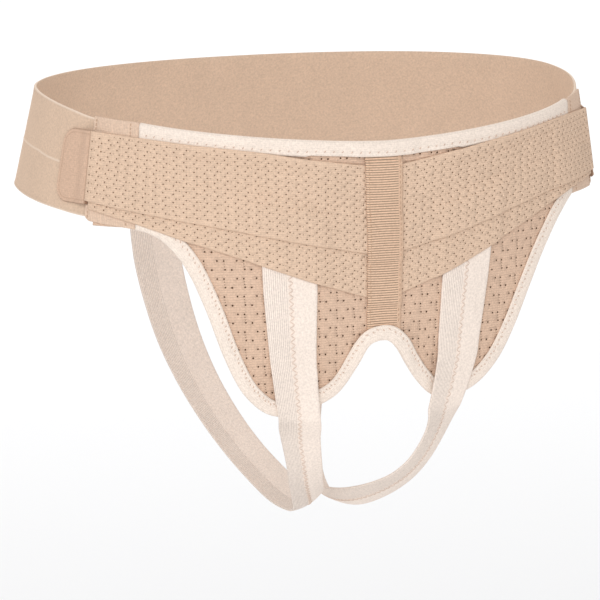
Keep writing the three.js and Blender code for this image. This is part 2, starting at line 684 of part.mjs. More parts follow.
// Cloth colours
const cloth = (color, roughness) => new THREE.MeshStandardMaterial({ color, roughness, metalness: 0 });
const MESH_CLOTH = cloth(0xdcbd9f, 0.85);
const BAND_CLOTH = cloth(0xe0c1a5, 0.85);
const LOOP_CLOTH = cloth(0xdbc1a9, 0.9);
const HOOK_TAPE = cloth(0xd5b59c, 0.7);
const ELASTIC = cloth(0xddc3ad, 0.85);
const RIBBED_WEBBING = cloth(0xccac92, 0.8);
const CREAM_BINDING = cloth(0xf8ece2, 0.85);
const CREAM_ELASTIC = cloth(0xf3e4d8, 0.85);

const belt = new THREE.Group();
function add(name, geometry, material) {
  const mesh = new THREE.Mesh(geometry, material);
  mesh.name = name;
  belt.add(mesh);
}

add("front_panel", frontPanel(), MESH_CLOTH);
add("top_binding", binding(topEdge, -1, topWidth), CREAM_BINDING);
add("lower_binding", binding(lowerEdge, 1, lowerWidth), CREAM_BINDING);
add("back_belt", backBelt(), LOOP_CLOTH);
add("centre_webbing", centreWebbing(), RIBBED_WEBBING);
for (const [side, word] of [
  [-1, "right"],
  [1, "left"],
]) {
  add(`upper_band_${word}`, upperBand(side), BAND_CLOTH);
  add(`lower_band_${word}`, lowerBand(side), BAND_CLOTH);
  add(`hook_tab_${word}`, hookTab(side), HOOK_TAPE);
  add(`end_facing_${word}`, endFacing(side), ELASTIC);
  add(`leg_strap_${word}`, legStrap(side), CREAM_ELASTIC);
}

export default belt;
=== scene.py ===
"""The looks of a double-sided groin hernia belt: cut and perforated cloth, folded bindings, ribbed
webbing, elastic leg straps, stitching, cloth materials, light and camera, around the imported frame.
Lengths are in millimetres until a mesh is made. The flat pattern of each ply on the hips is given by
arc, the length along the hip line from the front centre, and height."""
import math

import bpy
import numpy as np
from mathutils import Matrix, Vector
from mathutils.geometry import delaunay_2d_cdt


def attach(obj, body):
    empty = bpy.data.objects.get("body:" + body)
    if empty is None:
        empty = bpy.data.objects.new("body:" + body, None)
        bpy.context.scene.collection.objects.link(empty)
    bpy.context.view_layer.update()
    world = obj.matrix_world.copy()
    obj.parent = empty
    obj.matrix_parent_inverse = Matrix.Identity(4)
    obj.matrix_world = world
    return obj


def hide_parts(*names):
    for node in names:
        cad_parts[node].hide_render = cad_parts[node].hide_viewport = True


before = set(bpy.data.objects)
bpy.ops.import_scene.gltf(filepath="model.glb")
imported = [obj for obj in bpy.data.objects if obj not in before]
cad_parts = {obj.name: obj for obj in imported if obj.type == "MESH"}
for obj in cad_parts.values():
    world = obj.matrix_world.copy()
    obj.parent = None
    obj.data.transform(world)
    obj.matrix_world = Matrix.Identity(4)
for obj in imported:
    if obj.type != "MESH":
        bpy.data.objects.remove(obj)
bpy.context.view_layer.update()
MM = 0.001

# Outer form of the worn belt at the hip line, and how it changes with height
HIP_HALF_WIDTH = 175
HIP_FRONT_DEPTH = 127
HIP_BACK_DEPTH = 118.8
SIDE_FLARE = 0.22
FRONT_LEAN = 0.1
BACK_FLARE = 0.177
FRONT_ROUNDNESS = 2.14
BACK_ROUNDNESS = 2.2

# Walls of the cloth pieces, and the gap between two plies
PANEL_WALL = 1.4
BELT_WALL = 1.6
BAND_WALL = 1.1
STRAP_WALL = 1.3
BINDING_WALL = 1
FACING_WALL = 1
WEBBING_WALL = 1.1
TAB_WALL = 1.3
PLY_GAP = 0.32
SETTLE_FROM = 240
SETTLE_TO = 150

# Sizes of the pieces, as in the model
FRONT_REACH = 149
TOP_CENTRE = 10.7
TOP_RISE = 12
TOP_CURVE = 1.42
LOBE_DROP = 152.3
BINDING_WIDTH = 9.6
NARROW_WIDTH = 8.8
NARROW_REACH = 46
WIDENING = 3
FACING_WIDTH = 31.5
FACING_DROP = {-1: 39, 1: 35}  # by side, -1 for the right as worn
FACING_RISE = 1.8
FACING_CANT = {-1: 3.4, 1: 0.5}
FACING_CORNER = 4
PANEL_TUCK = 5
BAND_REACH = 179.5
BAND_DROP = 84
BAND_OVERLAP = 14
TAB_OUT = 25
TAB_IN = 1
TAB_HEIGHT = 42.4
TAB_CENTRE = {-1: -5.2, 1: -8.4}
TAB_CORNER = 9
WEBBING_WIDTH = 23
WEBBING_SKEW = 0.053
WEBBING_LEVEL = -45
WEBBING_TUCK = 6
BELT_WIDTH = 60
BELT_TUCK = 30
STRAP_WIDTH = 33.5
STRAP_SPREAD = 61.4
STRAP_TAPER = 0.035
STRAP_TOP = -44
STRAP_NECK = 0.79
STRAP_BEND = -108
STRAP_DRAW = {-1: 1.8, 1: 7.5}
STRAP_LIFT = 4.5
REAR_SPREAD = 62.6
REAR_TAPER = 0.07
REAR_TOP = 9
REAR_LOW = -45
CROTCH_DROP = 229
RAMP = 9
RAMP_MARGIN = 1.5

# across, then the drops on the right and the left: shares of FRONT_REACH and LOBE_DROP
LOWER_OUTLINE = np.array([
    (0, 0.716, 0.716), (0.045, 0.735, 0.721), (0.09, 0.803, 0.758), (0.137, 0.873, 0.823),
    (0.19, 0.924, 0.888), (0.265, 0.96, 0.952), (0.34, 0.986, 0.973), (0.42, 0.999, 0.964),
    (0.49, 0.988, 0.937), (0.55, 0.949, 0.892), (0.61, 0.876, 0.821), (0.67, 0.745, 0.709),
    (0.73, 0.572, 0.573), (0.8, 0.413, 0.437), (0.88, 0.312, 0.328), (0.95, 0.271, 0.265),
    (1, 0.26, 0.232),
])
# along a band, then its edges' heights on either side: shares of BAND_REACH and BAND_DROP
BAND_ALONG = np.array([0, 0.07, 0.25, 0.43, 0.67, 0.81, 1])
BAND_EDGES = {
    ("top", -1): np.array([-0.048, -0.036, 0.018, 0.083, 0.137, 0.165, 0.19]),
    ("seam", -1): np.array([-0.679, -0.657, -0.579, -0.498, -0.398, -0.348, -0.289]),
    ("hem", -1): np.array([-1, -0.97, -0.848, -0.71, -0.535, -0.436, -0.338]),
    ("top", 1): np.array([-0.048, -0.034, 0.03, 0.088, 0.148, 0.163, 0.154]),
    ("seam", 1): np.array([-0.679, -0.656, -0.567, -0.464, -0.354, -0.32, -0.294]),
    ("hem", 1): np.array([-1, -0.969, -0.836, -0.672, -0.464, -0.374, -0.325]),
}
# along the belt from its end to the back centre, then its edges' heights: shares of BELT_WIDTH
BELT_EDGES = {
    "along": np.array([0, 0.1, 0.163, 0.25, 0.353, 0.553, 0.768, 1]),
    "top": np.array([0.35, 0.387, 0.44, 0.492, 0.522, 0.53, 0.53, 0.53]),
    "bottom": np.array([-0.59, -0.56, -0.523, -0.487, -0.467, -0.465, -0.47, -0.47]),
}
# width, lean, turn and cup of a strap as it leaves the lobe, and the row where its stations are
# square to its run
STRAP_START = (STRAP_NECK, 0, 21, 0)
SQUARED_ROW = 4
# out, back, drop, width, lean, turn, cup of the strap's free stretch, as in the model
STRAP_ROUTE = np.array([
    (0.72, -0.793, 0.725, 0.715, 6, 33.5, 0.03), (0.63, -0.727, 0.807, 0.635, 6, 31, 0.06),
    (0.52, -0.623, 0.876, 0.6, 12, 23.5, 0.08), (0.39, -0.492, 0.928, 0.6, 21.5, 14.5, 0.1),
    (0.255, -0.328, 0.97, 0.62, 30.5, 7.5, 0.12), (0.19, -0.152, 0.992, 0.64, 35, 1.5, 0.12),
    (0.19, 0.08, 0.996, 0.64, 35, -3, 0.12), (0.225, 0.27, 0.975, 0.66, 30, -6, 0.12),
    (0.32, 0.465, 0.927, 0.7, 22, -8, 0.1), (0.45, 0.64, 0.853, 0.77, 14, -10, 0.08),
    (0.59, 0.785, 0.757, 0.85, 8, -11, 0.06), (0.715, 0.892, 0.645, 0.93, 4, -11, 0.04),
    (0.81, 0.956, 0.525, 0.98, 2, -11, 0.02), (0.885, 0.98, 0.41, 1, 0, -10, 0.01),
    (0.932, 0.976, 0.3, 1, 0, -10, 0),
])

# Distances of each ply's inner side from the panel's inner side
ON_PANEL = PANEL_WALL + PLY_GAP
ON_FACING = ON_PANEL + FACING_WALL + PLY_GAP
ON_BINDING = ON_PANEL + BINDING_WALL + PLY_GAP
UNDER_PANEL = -PLY_GAP - BELT_WALL
BAND_PLY = BAND_WALL + PLY_GAP
STRAP_PLY = STRAP_WALL + PLY_GAP
TAB_PLY = TAB_WALL + PLY_GAP
STACK = ON_FACING + BAND_PLY


def hermite(t, start, end, slope_start, slope_end, span=1):
    """Cubic Hermite interpolation over a span."""
    rise = 3 * t**2 - 2 * t**3
    bend = (t**3 - 2 * t**2 + t) * slope_start + (t**3 - t**2) * slope_end
    return (1 - rise) * start + rise * end + bend * span


def unit(vectors):
    return vectors / np.linalg.norm(vectors, axis=-1, keepdims=True)


def bell(x, centre, width):
    """1 at the centre, and smoothly down to 0 on both sides."""
    return np.exp(-(((x - centre) / width) ** 2))


def lengths(points):
    """Length along a line of points, at each of them."""
    return np.concatenate([[0], np.cumsum(np.linalg.norm(np.diff(points, axis=0), axis=1))])


def look_up(keys, values, x):
    """Smooth interpolation of a column of a table, by cubic Hermite spans."""
    x = np.asarray(x, float)
    i = np.clip(np.searchsorted(keys, x, side="left") - 1, 0, len(keys) - 2)
    place = np.arange(len(keys))
    low, high = np.maximum(place - 1, 0), np.minimum(place + 1, len(keys) - 1)
    slope = (values[high] - values[low]) / (keys[high] - keys[low])
    span = keys[i + 1] - keys[i]
    t = np.clip((x - keys[i]) / span, 0, 1)
    return hermite(t, values[i], values[i + 1], slope[i], slope[i + 1], span)


def ease(x, start, end):
    """0 before start, 1 after end, and smooth between them."""
    t = np.clip((np.asarray(x, float) - start) / (end - start), 0, 1)
    return t * t * (3 - 2 * t)


def hip_radius(angle, z):
    ahead = np.cos(angle) > 0
    side = np.abs(np.sin(angle)) / (HIP_HALF_WIDTH - SIDE_FLARE * z)
    depth = np.where(ahead, HIP_FRONT_DEPTH + FRONT_LEAN * z, HIP_BACK_DEPTH - BACK_FLARE * z)
    power = np.where(ahead, FRONT_ROUNDNESS, BACK_ROUNDNESS)
    along = np.abs(np.cos(angle)) / depth
    return (side**power + along**power) ** (-1 / power)


ANGLES = np.linspace(0, math.pi, 2001)
_rim = hip_radius(ANGLES, 0)[:, None] * np.stack([np.sin(ANGLES), np.cos(ANGLES)], 1)
ARC = lengths(_rim)
HALF_GIRTH = ARC[-1]


def hip_points(arc, z):
    around = np.where(np.abs(arc) > HALF_GIRTH, 2 * HALF_GIRTH - np.abs(arc), np.abs(arc))
    angle = np.interp(around, ARC, ANGLES)
    angle = np.where(np.abs(arc) > HALF_GIRTH, 2 * math.pi - angle, angle) * np.where(arc < 0, -1, 1)
    r = hip_radius(angle, z)
    return np.stack([r * np.sin(angle), -r * np.cos(angle), z + 0 * r], -1)


def hip_normals(arc, z):
    d = 0.5
    east = hip_points(arc + d, z) - hip_points(arc - d, z)
    up = hip_points(arc, z + d) - hip_points(arc, z - d)
    return unit(np.cross(east, up))


def skin(arc, z, out):
    """Points at arcs and heights, a distance out from the panel's inner side."""
    arc, z, out = np.broadcast_arrays(*(np.asarray(v, float) for v in (arc, z, out)))
    from_front = np.minimum(np.abs(arc), 2 * HALF_GIRTH - np.abs(arc))
    settled = STACK * (1 - ease(from_front, SETTLE_TO, SETTLE_FROM))
    return hip_points(arc, z) + hip_normals(arc, z) * (out - settled)[..., None]


# Edges in the flat pattern
def top_edge(arc):
    return TOP_CENTRE + TOP_RISE * (np.abs(arc) / FRONT_REACH) ** TOP_CURVE


def lower_edge(arc):
    across = np.abs(arc) / FRONT_REACH
    right, left = (look_up(LOWER_OUTLINE[:, 0], LOWER_OUTLINE[:, k], across) for k in (1, 2))
    return -LOBE_DROP * np.where(np.asarray(arc) < 0, right, left)


def band_edge(column, arc):
    along = np.abs(arc) / BAND_REACH
    right, left = (look_up(BAND_ALONG, BAND_EDGES[column, side], along) for side in (-1, 1))
    return BAND_DROP * np.where(np.asarray(arc) < 0, right, left)


def top_width(arc):
    """Width of the top binding's layers."""
    away = np.clip((np.abs(arc) - NARROW_REACH) / WIDENING, 0, 1)
    return NARROW_WIDTH + (BINDING_WIDTH - NARROW_WIDTH) * away


def webbing_middle(z):
    return WEBBING_SKEW * (WEBBING_LEVEL - z)


def turned_in(arc, end, radius):
    """How far a rounded corner's edge has turned in at an arc length."""
    past = np.maximum(0, np.abs(arc) - end + radius)
    return radius - np.sqrt(np.maximum(0, radius**2 - past**2))


BELT_START = FRONT_REACH + FACING_WIDTH - BELT_TUCK


def belt_edge(column, arc):
    along = (np.minimum(arc, 2 * HALF_GIRTH - arc) - BELT_START) / (HALF_GIRTH - BELT_START)
    return BELT_WIDTH * look_up(BELT_EDGES["along"], BELT_EDGES[column], along)


class Edge:
    """An edge of the panel by length along it: place(s, depth) gives arcs and heights that lie depth
    into the cloth."""

    def __init__(self, height, inward, reach):
        arc = np.linspace(-reach, reach, 1501)
        z = height(arc)
        self.s = np.concatenate([[0], np.cumsum(np.hypot(np.diff(arc), np.diff(z)))])
        self.length = self.s[-1]
        slope = np.gradient(z, arc)
        size = np.hypot(1, slope)
        square = ease(self.s, 0, BINDING_WIDTH) * ease(self.length - self.s, 0, BINDING_WIDTH)
        self.arc, self.z = arc, z
        self.d_arc = -inward * slope / size * square
        self.d_z = inward / size * square + inward * (1 - square)

    def place(self, s, depth):
        at = [np.interp(s, self.s, column) for column in (self.arc, self.z, self.d_arc, self.d_z)]
        return at[0] + at[2] * depth, at[1] + at[3] * depth


BINDING_END = FRONT_REACH - PLY_GAP
TOP = Edge(top_edge, -1, BINDING_END)
LOWER = Edge(lower_edge, 1, BINDING_END)

# What the bands climb over: the strap's top end, the bindings, the facing and the hook tab
STRAP_AT_HEM = STRAP_SPREAD + STRAP_TAPER * band_edge("hem", STRAP_SPREAD)
STRAP_FLAT = STRAP_WIDTH / 2 + RAMP_MARGIN
TAB_START = BAND_REACH - TAB_IN
RIM_ARC, RIM_Z = LOWER.place(np.linspace(0, LOWER.length, 1200), BINDING_WIDTH)
_shown = RIM_ARC[RIM_Z < band_edge("hem", RIM_ARC)]
BINDING_ENTRY = (-_shown.min(), _shown.max())  # right, left
_arcs = np.linspace(-FRONT_REACH, FRONT_REACH, 400)
DEEPEST_COVER = np.max(band_edge("top", _arcs) - (top_edge(_arcs) - top_width(_arcs)))


def over_strap(arc):
    away = np.abs(np.abs(arc) - STRAP_AT_HEM)
    return STRAP_PLY * (1 - ease(away, STRAP_FLAT, STRAP_FLAT + RAMP))


def band_base(arc):
    entry = np.where(np.asarray(arc) < 0, *BINDING_ENTRY) - RAMP_MARGIN
    rise = ease(np.abs(arc) - entry, -RAMP, 0)
    return ON_PANEL + rise * (max(ON_BINDING, ON_FACING) - ON_PANEL)


def lower_band_base(arc, z):
    return band_base(arc) + over_strap(arc)


def upper_band_base(arc, z):
    seam, top = band_edge("seam", arc), band_edge("top", arc)
    over = seam + BAND_OVERLAP + RAMP_MARGIN
    climb = (1 - ease(z, over, over + RAMP)) * (over_strap(arc) + BAND_PLY)
    on_tab = TAB_PLY * ease(np.abs(arc), TAB_START - RAMP_MARGIN - RAMP, TAB_START - RAMP_MARGIN)
    cover = top - (top_edge(arc) - top_width(arc))
    on_binding = ON_PANEL + (ON_BINDING - ON_PANEL) * ease(cover, -2 * RAMP_MARGIN, -RAMP_MARGIN / 2)
    high = ease(z, top - DEEPEST_COVER - RAMP_MARGIN - RAMP / 2, top - DEEPEST_COVER - RAMP_MARGIN)
    base = band_base(arc)
    base = base + high * (np.maximum(base, on_binding) - base)
    return base + np.maximum(on_tab, climb)


# Meshes


def new_object(name, data):
    made = bpy.data.objects.new(name, data)
    bpy.context.scene.collection.objects.link(made)
    return made


def finish_mesh(name, points, faces, flat, marks=None, sharp=None, slots=None):
    """A mesh object from points in millimetres, with its flat-pattern coordinates as an attribute."""
    mesh = bpy.data.meshes.new(name)
    mesh.from_pydata((np.asarray(points) * MM).tolist(), [], faces)
    mesh.update()
    mesh.polygons.foreach_set("use_smooth", np.ones(len(mesh.polygons), bool))
    if sharp is not None:
        mesh.attributes.new("sharp_face", "BOOLEAN", "FACE").data.foreach_set("value", sharp)
    if slots is not None:
        mesh.polygons.foreach_set("material_index", slots)
    layer = mesh.attributes.new("flat", "FLOAT_VECTOR", "POINT")
    layer.data.foreach_set("vector", np.asarray(flat, float).ravel())
    mark = mesh.attributes.new("mark", "FLOAT", "POINT")
    mark.data.foreach_set("value", np.zeros(len(points)) if marks is None else np.asarray(marks, float))
    return new_object(name, mesh)


def loft(name, outer, inner, flat, marks=None):
    """A closed cloth strip between two grids of points; its grids run along, then across."""
    n, m = outer.shape[:2]
    a = np.arange(n * m).reshape(n, m)
    b = a + n * m
    quads = []

    def patch(p, q, r, s):
        quads.append(np.stack([p.ravel(), q.ravel(), r.ravel(), s.ravel()], 1))

    patch(a[:-1, :-1], a[1:, :-1], a[1:, 1:], a[:-1, 1:])
    patch(b[:-1, :-1], b[:-1, 1:], b[1:, 1:], b[1:, :-1])
    patch(a[:-1, 0], b[:-1, 0], b[1:, 0], a[1:, 0])
    patch(a[:-1, -1], a[1:, -1], b[1:, -1], b[:-1, -1])
    patch(a[0, :-1], a[0, 1:], b[0, 1:], b[0, :-1])
    patch(a[-1, :-1], b[-1, :-1], b[-1, 1:], a[-1, 1:])
    points = np.concatenate([outer.reshape(-1, 3), inner.reshape(-1, 3)])
    sides = np.concatenate([np.zeros(n * m), np.ones(n * m)])
    flats = np.concatenate([np.tile(flat.reshape(-1, 2), (2, 1)), sides[:, None]], 1)
    if marks is not None:
        marks = np.tile(marks.ravel(), 2)
    return finish_mesh(name, points, np.concatenate(quads).tolist(), flats, marks)


def inside(points, outline):
    """Which points lie inside a closed outline."""
    hit = np.zeros(len(points), bool)
    x, y = points[:, 0], points[:, 1]
    for (x0, y0), (x1, y1) in zip(outline, np.roll(outline, -1, axis=0)):
        if y0 != y1:
            crosses = (y0 > y) != (y1 > y)
            hit ^= crosses & (x < x0 + (y - y0) * (x1 - x0) / (y1 - y0))
    return hit


def edge_distance(points, outline):
    """Distance of each point from a closed outline."""
    best = np.full(len(points), 1e9)
    for a, b in zip(outline, np.roll(outline, -1, axis=0)):
        ab = b - a
        t = np.clip(((points - a) @ ab) / max(ab @ ab, 1e-12), 0, 1)
        best = np.minimum(best, np.hypot(*(points - a - t[:, None] * ab).T))
    return best


def line_distance(points, line):
    """Distance of each point from an open line of closely spaced points."""
    best = np.full(len(points), 1e9)
    for place in line:
        best = np.minimum(best, np.hypot(*(points - place).T))
    return best


def inset(outline, d):
    """The outline moved inwards by d; it runs anticlockwise."""
    before, after = np.roll(outline, 1, axis=0), np.roll(outline, -1, axis=0)
    along = unit(after - before)
    return outline + d * np.stack([-along[:, 1], along[:, 0]], 1)


def open_edges(tris):
    """Edges that only one of the triangles has."""
    seen = {}
    for a, b, c in tris.tolist():
        seen.update({(a, b): 1, (b, c): 1, (c, a): 1})
    return np.array([e for e in seen if (e[1], e[0]) not in seen]).reshape(-1, 2)


EDGE_ROUND = 0.7


def cut_cloth(
    name, outline, base, wall, step, pits=(), pit_depth=0.7, back_depth=0, relief=None, line=None,
):
    """A cloth ply cut to an outline in the flat pattern, with pits (x, y, radius, sides) pressed into
    its outer face, and into its inner face where back_depth isn't 0. Along a line its mesh is finer."""
    pits = np.asarray(pits, float).reshape(-1, 4)
    loops = [outline, inset(outline, EDGE_ROUND)]
    for x, y, r, sides in pits:
        turn = np.arange(int(sides)) * 2 * math.pi / sides + x
        loops.append(np.stack([x + r * np.cos(turn), y + r * np.sin(turn)], 1))
    low, high = outline.min(0), outline.max(0)
    row, column = np.mgrid[low[1] : high[1] : step * 0.87, low[0] : high[0] : step]
    column[1::2] += step / 2
    grid = np.stack([column.ravel(), row.ravel()], 1)
    grid = grid[inside(grid, outline)]
    grid = grid[edge_distance(grid, outline) > EDGE_ROUND + step * 0.4]
    if len(pits):
        clear = np.ones(len(grid), bool)
        for x, y, r, _ in pits:
            clear &= np.hypot(grid[:, 0] - x, grid[:, 1] - y) > r + step * 0.3
        grid = grid[clear]
    if line is not None:
        grid = grid[line_distance(grid, line) > step * 0.7]
        grid = np.concatenate([grid] + [line + (0, d) for d in (-1.2, -0.6, 0, 0.6, 1.2)])
    starts = np.cumsum([0] + [len(loop) for loop in loops])
    edges = []
    owner = np.full(starts[-1] + len(grid), -1)
    for k, loop in enumerate(loops):
        at = np.arange(starts[k], starts[k + 1])
        edges += np.stack([at, np.roll(at, -1)], 1).tolist()
        owner[at] = k - 2
    owner = np.maximum(owner, -1)
    made = delaunay_2d_cdt([Vector(p) for p in np.concatenate(loops + [grid])], edges, [], 0, 1e-5)
    flat = np.array([tuple(v) for v in made[0]])
    source = np.array([o[0] if o else -1 for o in made[3]])
    owner = np.where(source >= 0, owner[source], -1)
    tris = np.array([f for f in made[2] if len(f) == 3])
    tris = tris[inside(flat[tris].mean(1), outline)]
    own = owner[tris]
    in_pit = (own[:, 0] >= 0) & (own[:, 0] == own[:, 1]) & (own[:, 0] == own[:, 2])
    away = edge_distance(flat, outline)
    rounding = 1 - np.sqrt(np.clip(1 - (1 - np.clip(away / EDGE_ROUND, 0, 1)) ** 2, 0, 1))
    lift = base(flat[:, 0], flat[:, 1])
    proud = relief(flat, away) if relief else 0
    outer = skin(flat[:, 0], flat[:, 1], lift + wall * (1 - 0.4 * rounding) + proud)
    inner = skin(flat[:, 0], flat[:, 1], lift + wall * 0.2 * rounding)
    n = len(flat)
    points, flats = [outer, inner], [np.c_[flat, np.zeros(n)], np.c_[flat, np.ones(n)]]
    faces, kind = [], []

    def add(new, what):
        faces.extend(new.tolist())
        kind.append(np.full(len(new), what))

    cloth = tris[~in_pit]
    add(cloth, 0)
    # the pit walls and floors take the second material, which paints the shade in the holes
    deep = tris[in_pit]
    ring = np.flatnonzero(owner >= 0)
    walls = open_edges(deep)
    at = np.full(n, -1)

    def sink(surface, depth_out, flip):
        """Pit walls and floors from one face of the cloth."""
        count = sum(len(p) for p in points)
        at[ring] = count + np.arange(len(ring))
        points.append(skin(flat[ring, 0], flat[ring, 1], depth_out[ring]))
        flats.append(np.c_[flat[ring], np.full(len(ring), flip)])
        floor, side = at[deep], np.c_[walls + surface, at[walls[:, 1]], at[walls[:, 0]]]
        add(floor[:, ::-1] if flip else floor, 1)
        add(side[:, ::-1] if flip else side, 1)

    if len(deep):
        sink(0, lift + wall - pit_depth, 0)
    if len(deep) and back_depth:
        sink(n, lift + back_depth, 1)
        add(cloth[:, ::-1] + n, 0)
    else:
        add(tris[:, ::-1] + n, 0)
    rim = open_edges(tris)
    add(np.c_[rim[:, 1], rim[:, 0], rim[:, 0] + n, rim[:, 1] + n], 0)
    kind = np.concatenate(kind)
    points, flats = np.concatenate(points), np.concatenate(flats)
    marks = edge_distance(flats[:, :2], outline)
    if line is not None:
        marks = np.minimum(marks, line_distance(flats[:, :2], line) + 0.35)
    return finish_mesh(name, points, faces, flats, marks, kind == 1, kind)


def threads(name, starts, ends, normals, radius):
    """Stitches: each a short bent thread from start to end, proud of the cloth in its middle."""
    turns, rings = 6, 6
    t = np.linspace(0, 1, rings)
    along = ends - starts
    side = unit(np.cross(along, normals))
    height = radius * (1.7 * np.sin(math.pi * t) - 0.9)
    phase = np.arange(turns) * 2 * math.pi / turns
    size = radius * (0.75 + 0.25 * np.sin(math.pi * t))
    centre = starts[:, None] + along[:, None] * t[None, :, None]
    centre = centre + normals[:, None] * height[None, :, None]
    around = (
        side[:, None, None] * np.cos(phase)[None, None, :, None]
        + normals[:, None, None] * np.sin(phase)[None, None, :, None]
    )
    points = centre[:, :, None] + around * size[None, :, None, None]
    n = len(starts)
    index = np.arange(n * rings * turns).reshape(n, rings, turns)
    after = np.roll(index, -1, axis=2)
    quads = np.stack([index[:, :-1], after[:, :-1], after[:, 1:], index[:, 1:]], -1)
    quads = quads.reshape(-1, 4).tolist()
    caps = index[:, 0, ::-1].tolist() + index[:, -1].tolist()
    flat = np.zeros((n * rings * turns, 3))
    flat[:, 0] = np.broadcast_to(t[None, :, None], index.shape).ravel()
    return finish_mesh(name, points.reshape(-1, 3), quads + caps, flat)


# Materials


def linear(rgb):
    return [((c / 255 + 0.055) / 1.055) ** 2.4 if c > 10 else c / 255 / 12.92 for c in rgb] + [1]


def new_material(name):
    material = bpy.data.materials.new(name)
    material.use_nodes = True
    return material


def set_inputs(node, values):
    for socket, value in values.items():
        node.inputs[socket].default_value = value


class Nodes:
    """Short ways to add and join shader nodes."""

    def __init__(self, material):
        self.tree = material.node_tree
        self.shader = self.tree.nodes["Principled BSDF"]

    def new(self, kind, values=(), **settings):
        node = self.tree.nodes.new("ShaderNode" + kind)
        for key, value in settings.items():
            setattr(node, key, value)
        for socket, value in dict(values).items():
            self.put(node.inputs[socket], value)
        return node

    def put(self, socket, value):
        if isinstance(value, bpy.types.NodeSocket):
            self.tree.links.new(value, socket)
        else:
            socket.default_value = value

    def math(self, operation, a, b=0.0, c=0.0):
        return self.new("Math", {0: a, 1: b, 2: c}, operation=operation).outputs[0]

    def times(self, a, b):
        return self.math("MULTIPLY", a, b)

    def fade(self, distance, reach):
        """1 at no distance and 0 from the reach on."""
        share = self.math("DIVIDE", distance, reach)
        return self.math("SUBTRACT", 1.0, self.math("MINIMUM", share, 1.0))

    def wave(self, coordinate, pitch, sharpness=1.0):
        """0 in the grooves and 1 on the ribs of lines a pitch apart."""
        turn = self.math("MULTIPLY", coordinate, math.pi / pitch)
        rib = self.math("ABSOLUTE", self.math("SINE", turn))
        return self.math("POWER", rib, sharpness)

    def noise(self, scale, detail=2.0, coordinates=None):
        place = coordinates or self.new("TexCoord").outputs["Object"]
        return self.new("TexNoise", {"Vector": place, "Scale": scale, "Detail": detail}).outputs["Fac"]

    def flat(self):
        coordinates = self.new("Attribute", attribute_name="flat").outputs["Vector"]
        return self.new("SeparateXYZ", {0: coordinates}).outputs[:3]


def fabric(name, rgb, height, roughness=0.85, sheen=0.25, groove=0.82, mottle=0.06, depth=0.1, tint=None):
    """A cloth material. height(nodes) gives its relief from 0 to 1, depth its size in millimetres,
    groove the painted shade of its low places and mottle the strength of its uneven dye."""
    material = new_material(name)
    nodes = Nodes(material)
    relief = height(nodes)
    fuzz = nodes.noise(850, 3)
    surface = nodes.math("ADD", relief, nodes.times(fuzz, 0.6))
    bump = nodes.new("Bump", {"Height": surface, "Distance": depth * MM, "Strength": 1.0})
    nodes.tree.links.new(bump.outputs[0], nodes.shader.inputs["Normal"])
    # painted shade: the colour is darkened in the relief's low places, down to the groove share
    shade = nodes.math("MULTIPLY_ADD", relief, 1 - groove, groove)
    uneven = nodes.math("MULTIPLY_ADD", nodes.noise(38, 4), 2 * mottle, 1 - mottle)
    fleck = nodes.math("MULTIPLY_ADD", fuzz, 0.5, 0.75)
    shade = nodes.times(nodes.times(shade, uneven), fleck)
    mixed = nodes.new("Mix", {6: [0, 0, 0, 1], 7: linear(rgb), 0: shade}, data_type="RGBA")
    mixed.clamp_factor = False
    colour = mixed.outputs[2]
    if tint:
        amount, other = tint(nodes)
        mixed = nodes.new("Mix", {0: amount, 6: colour, 7: linear(other)}, data_type="RGBA")
        colour = mixed.outputs[2]
    nodes.tree.links.new(colour, nodes.shader.inputs["Base Color"])
    set_inputs(nodes.shader, {
        "Roughness": roughness, "Sheen Weight": sheen, "Sheen Roughness": 0.5,
        "Sheen Tint": linear(rgb), "Specular IOR Level": 0.25,
    })
    return material


def knit(course, wale):
    """Uneven knit loops: rows a course apart, broken into wales."""
    def height(nodes):
        x, y, side = nodes.flat()
        place = nodes.new("CombineXYZ", {0: x, 1: y, 2: side}).outputs[0]
        drift = nodes.times(nodes.noise(0.9, 2, place), 1.1 * course)
        rows = nodes.wave(nodes.math("ADD", y, drift), course, 0.7)
        step = nodes.times(rows, wale / 3)
        columns = nodes.wave(nodes.math("ADD", nodes.math("ADD", x, step), drift), wale, 0.7)
        return nodes.times(nodes.math("MULTIPLY_ADD", columns, 0.5, 0.5), rows)
    return height


def ribs(pitch, along_x=False, cross=0.0, sharpness=0.6):
    """Ribs a pitch apart, lengthwise or crosswise, with a fine cross thread."""
    def height(nodes):
        x, y, _ = nodes.flat()
        rib = nodes.wave(y if along_x else x, pitch, sharpness)
        if not cross:
            return rib
        thread = nodes.wave(x if along_x else y, cross, 0.5)
        return nodes.times(rib, nodes.math("MULTIPLY_ADD", thread, 0.3, 0.7))
    return height


def nap(nodes):
    """The short uneven pile of brushed loop cloth."""
    x, y, side = nodes.flat()
    place = nodes.new("CombineXYZ", {0: nodes.times(x, 0.6), 1: y, 2: side}).outputs[0]
    coarse = nodes.noise(0.9, 3, place)
    fine = nodes.noise(2.6, 2, place)
    return nodes.math("ADD", nodes.times(coarse, 0.5), nodes.times(fine, 0.5))


def hooks(nodes):
    """Rows of moulded hooks."""
    x, y, _ = nodes.flat()
    return nodes.times(nodes.wave(x, 1.3, 1.2), nodes.wave(y, 1.2, 1.2))


def webbing_ribs(nodes):
    """Crosswise ribs whose grooves the material paints dark as shade, and a plain strip down the left
    edge as worn.
    """
    x, y, _ = nodes.flat()
    rib = nodes.wave(y, WEBBING_RIB, 0.75)
    plain = nodes.math("GREATER_THAN", x, WEBBING_WIDTH / 2 - 2.7)
    return nodes.new("Mix", {0: plain, 2: rib, 3: 0.8}).outputs[0]


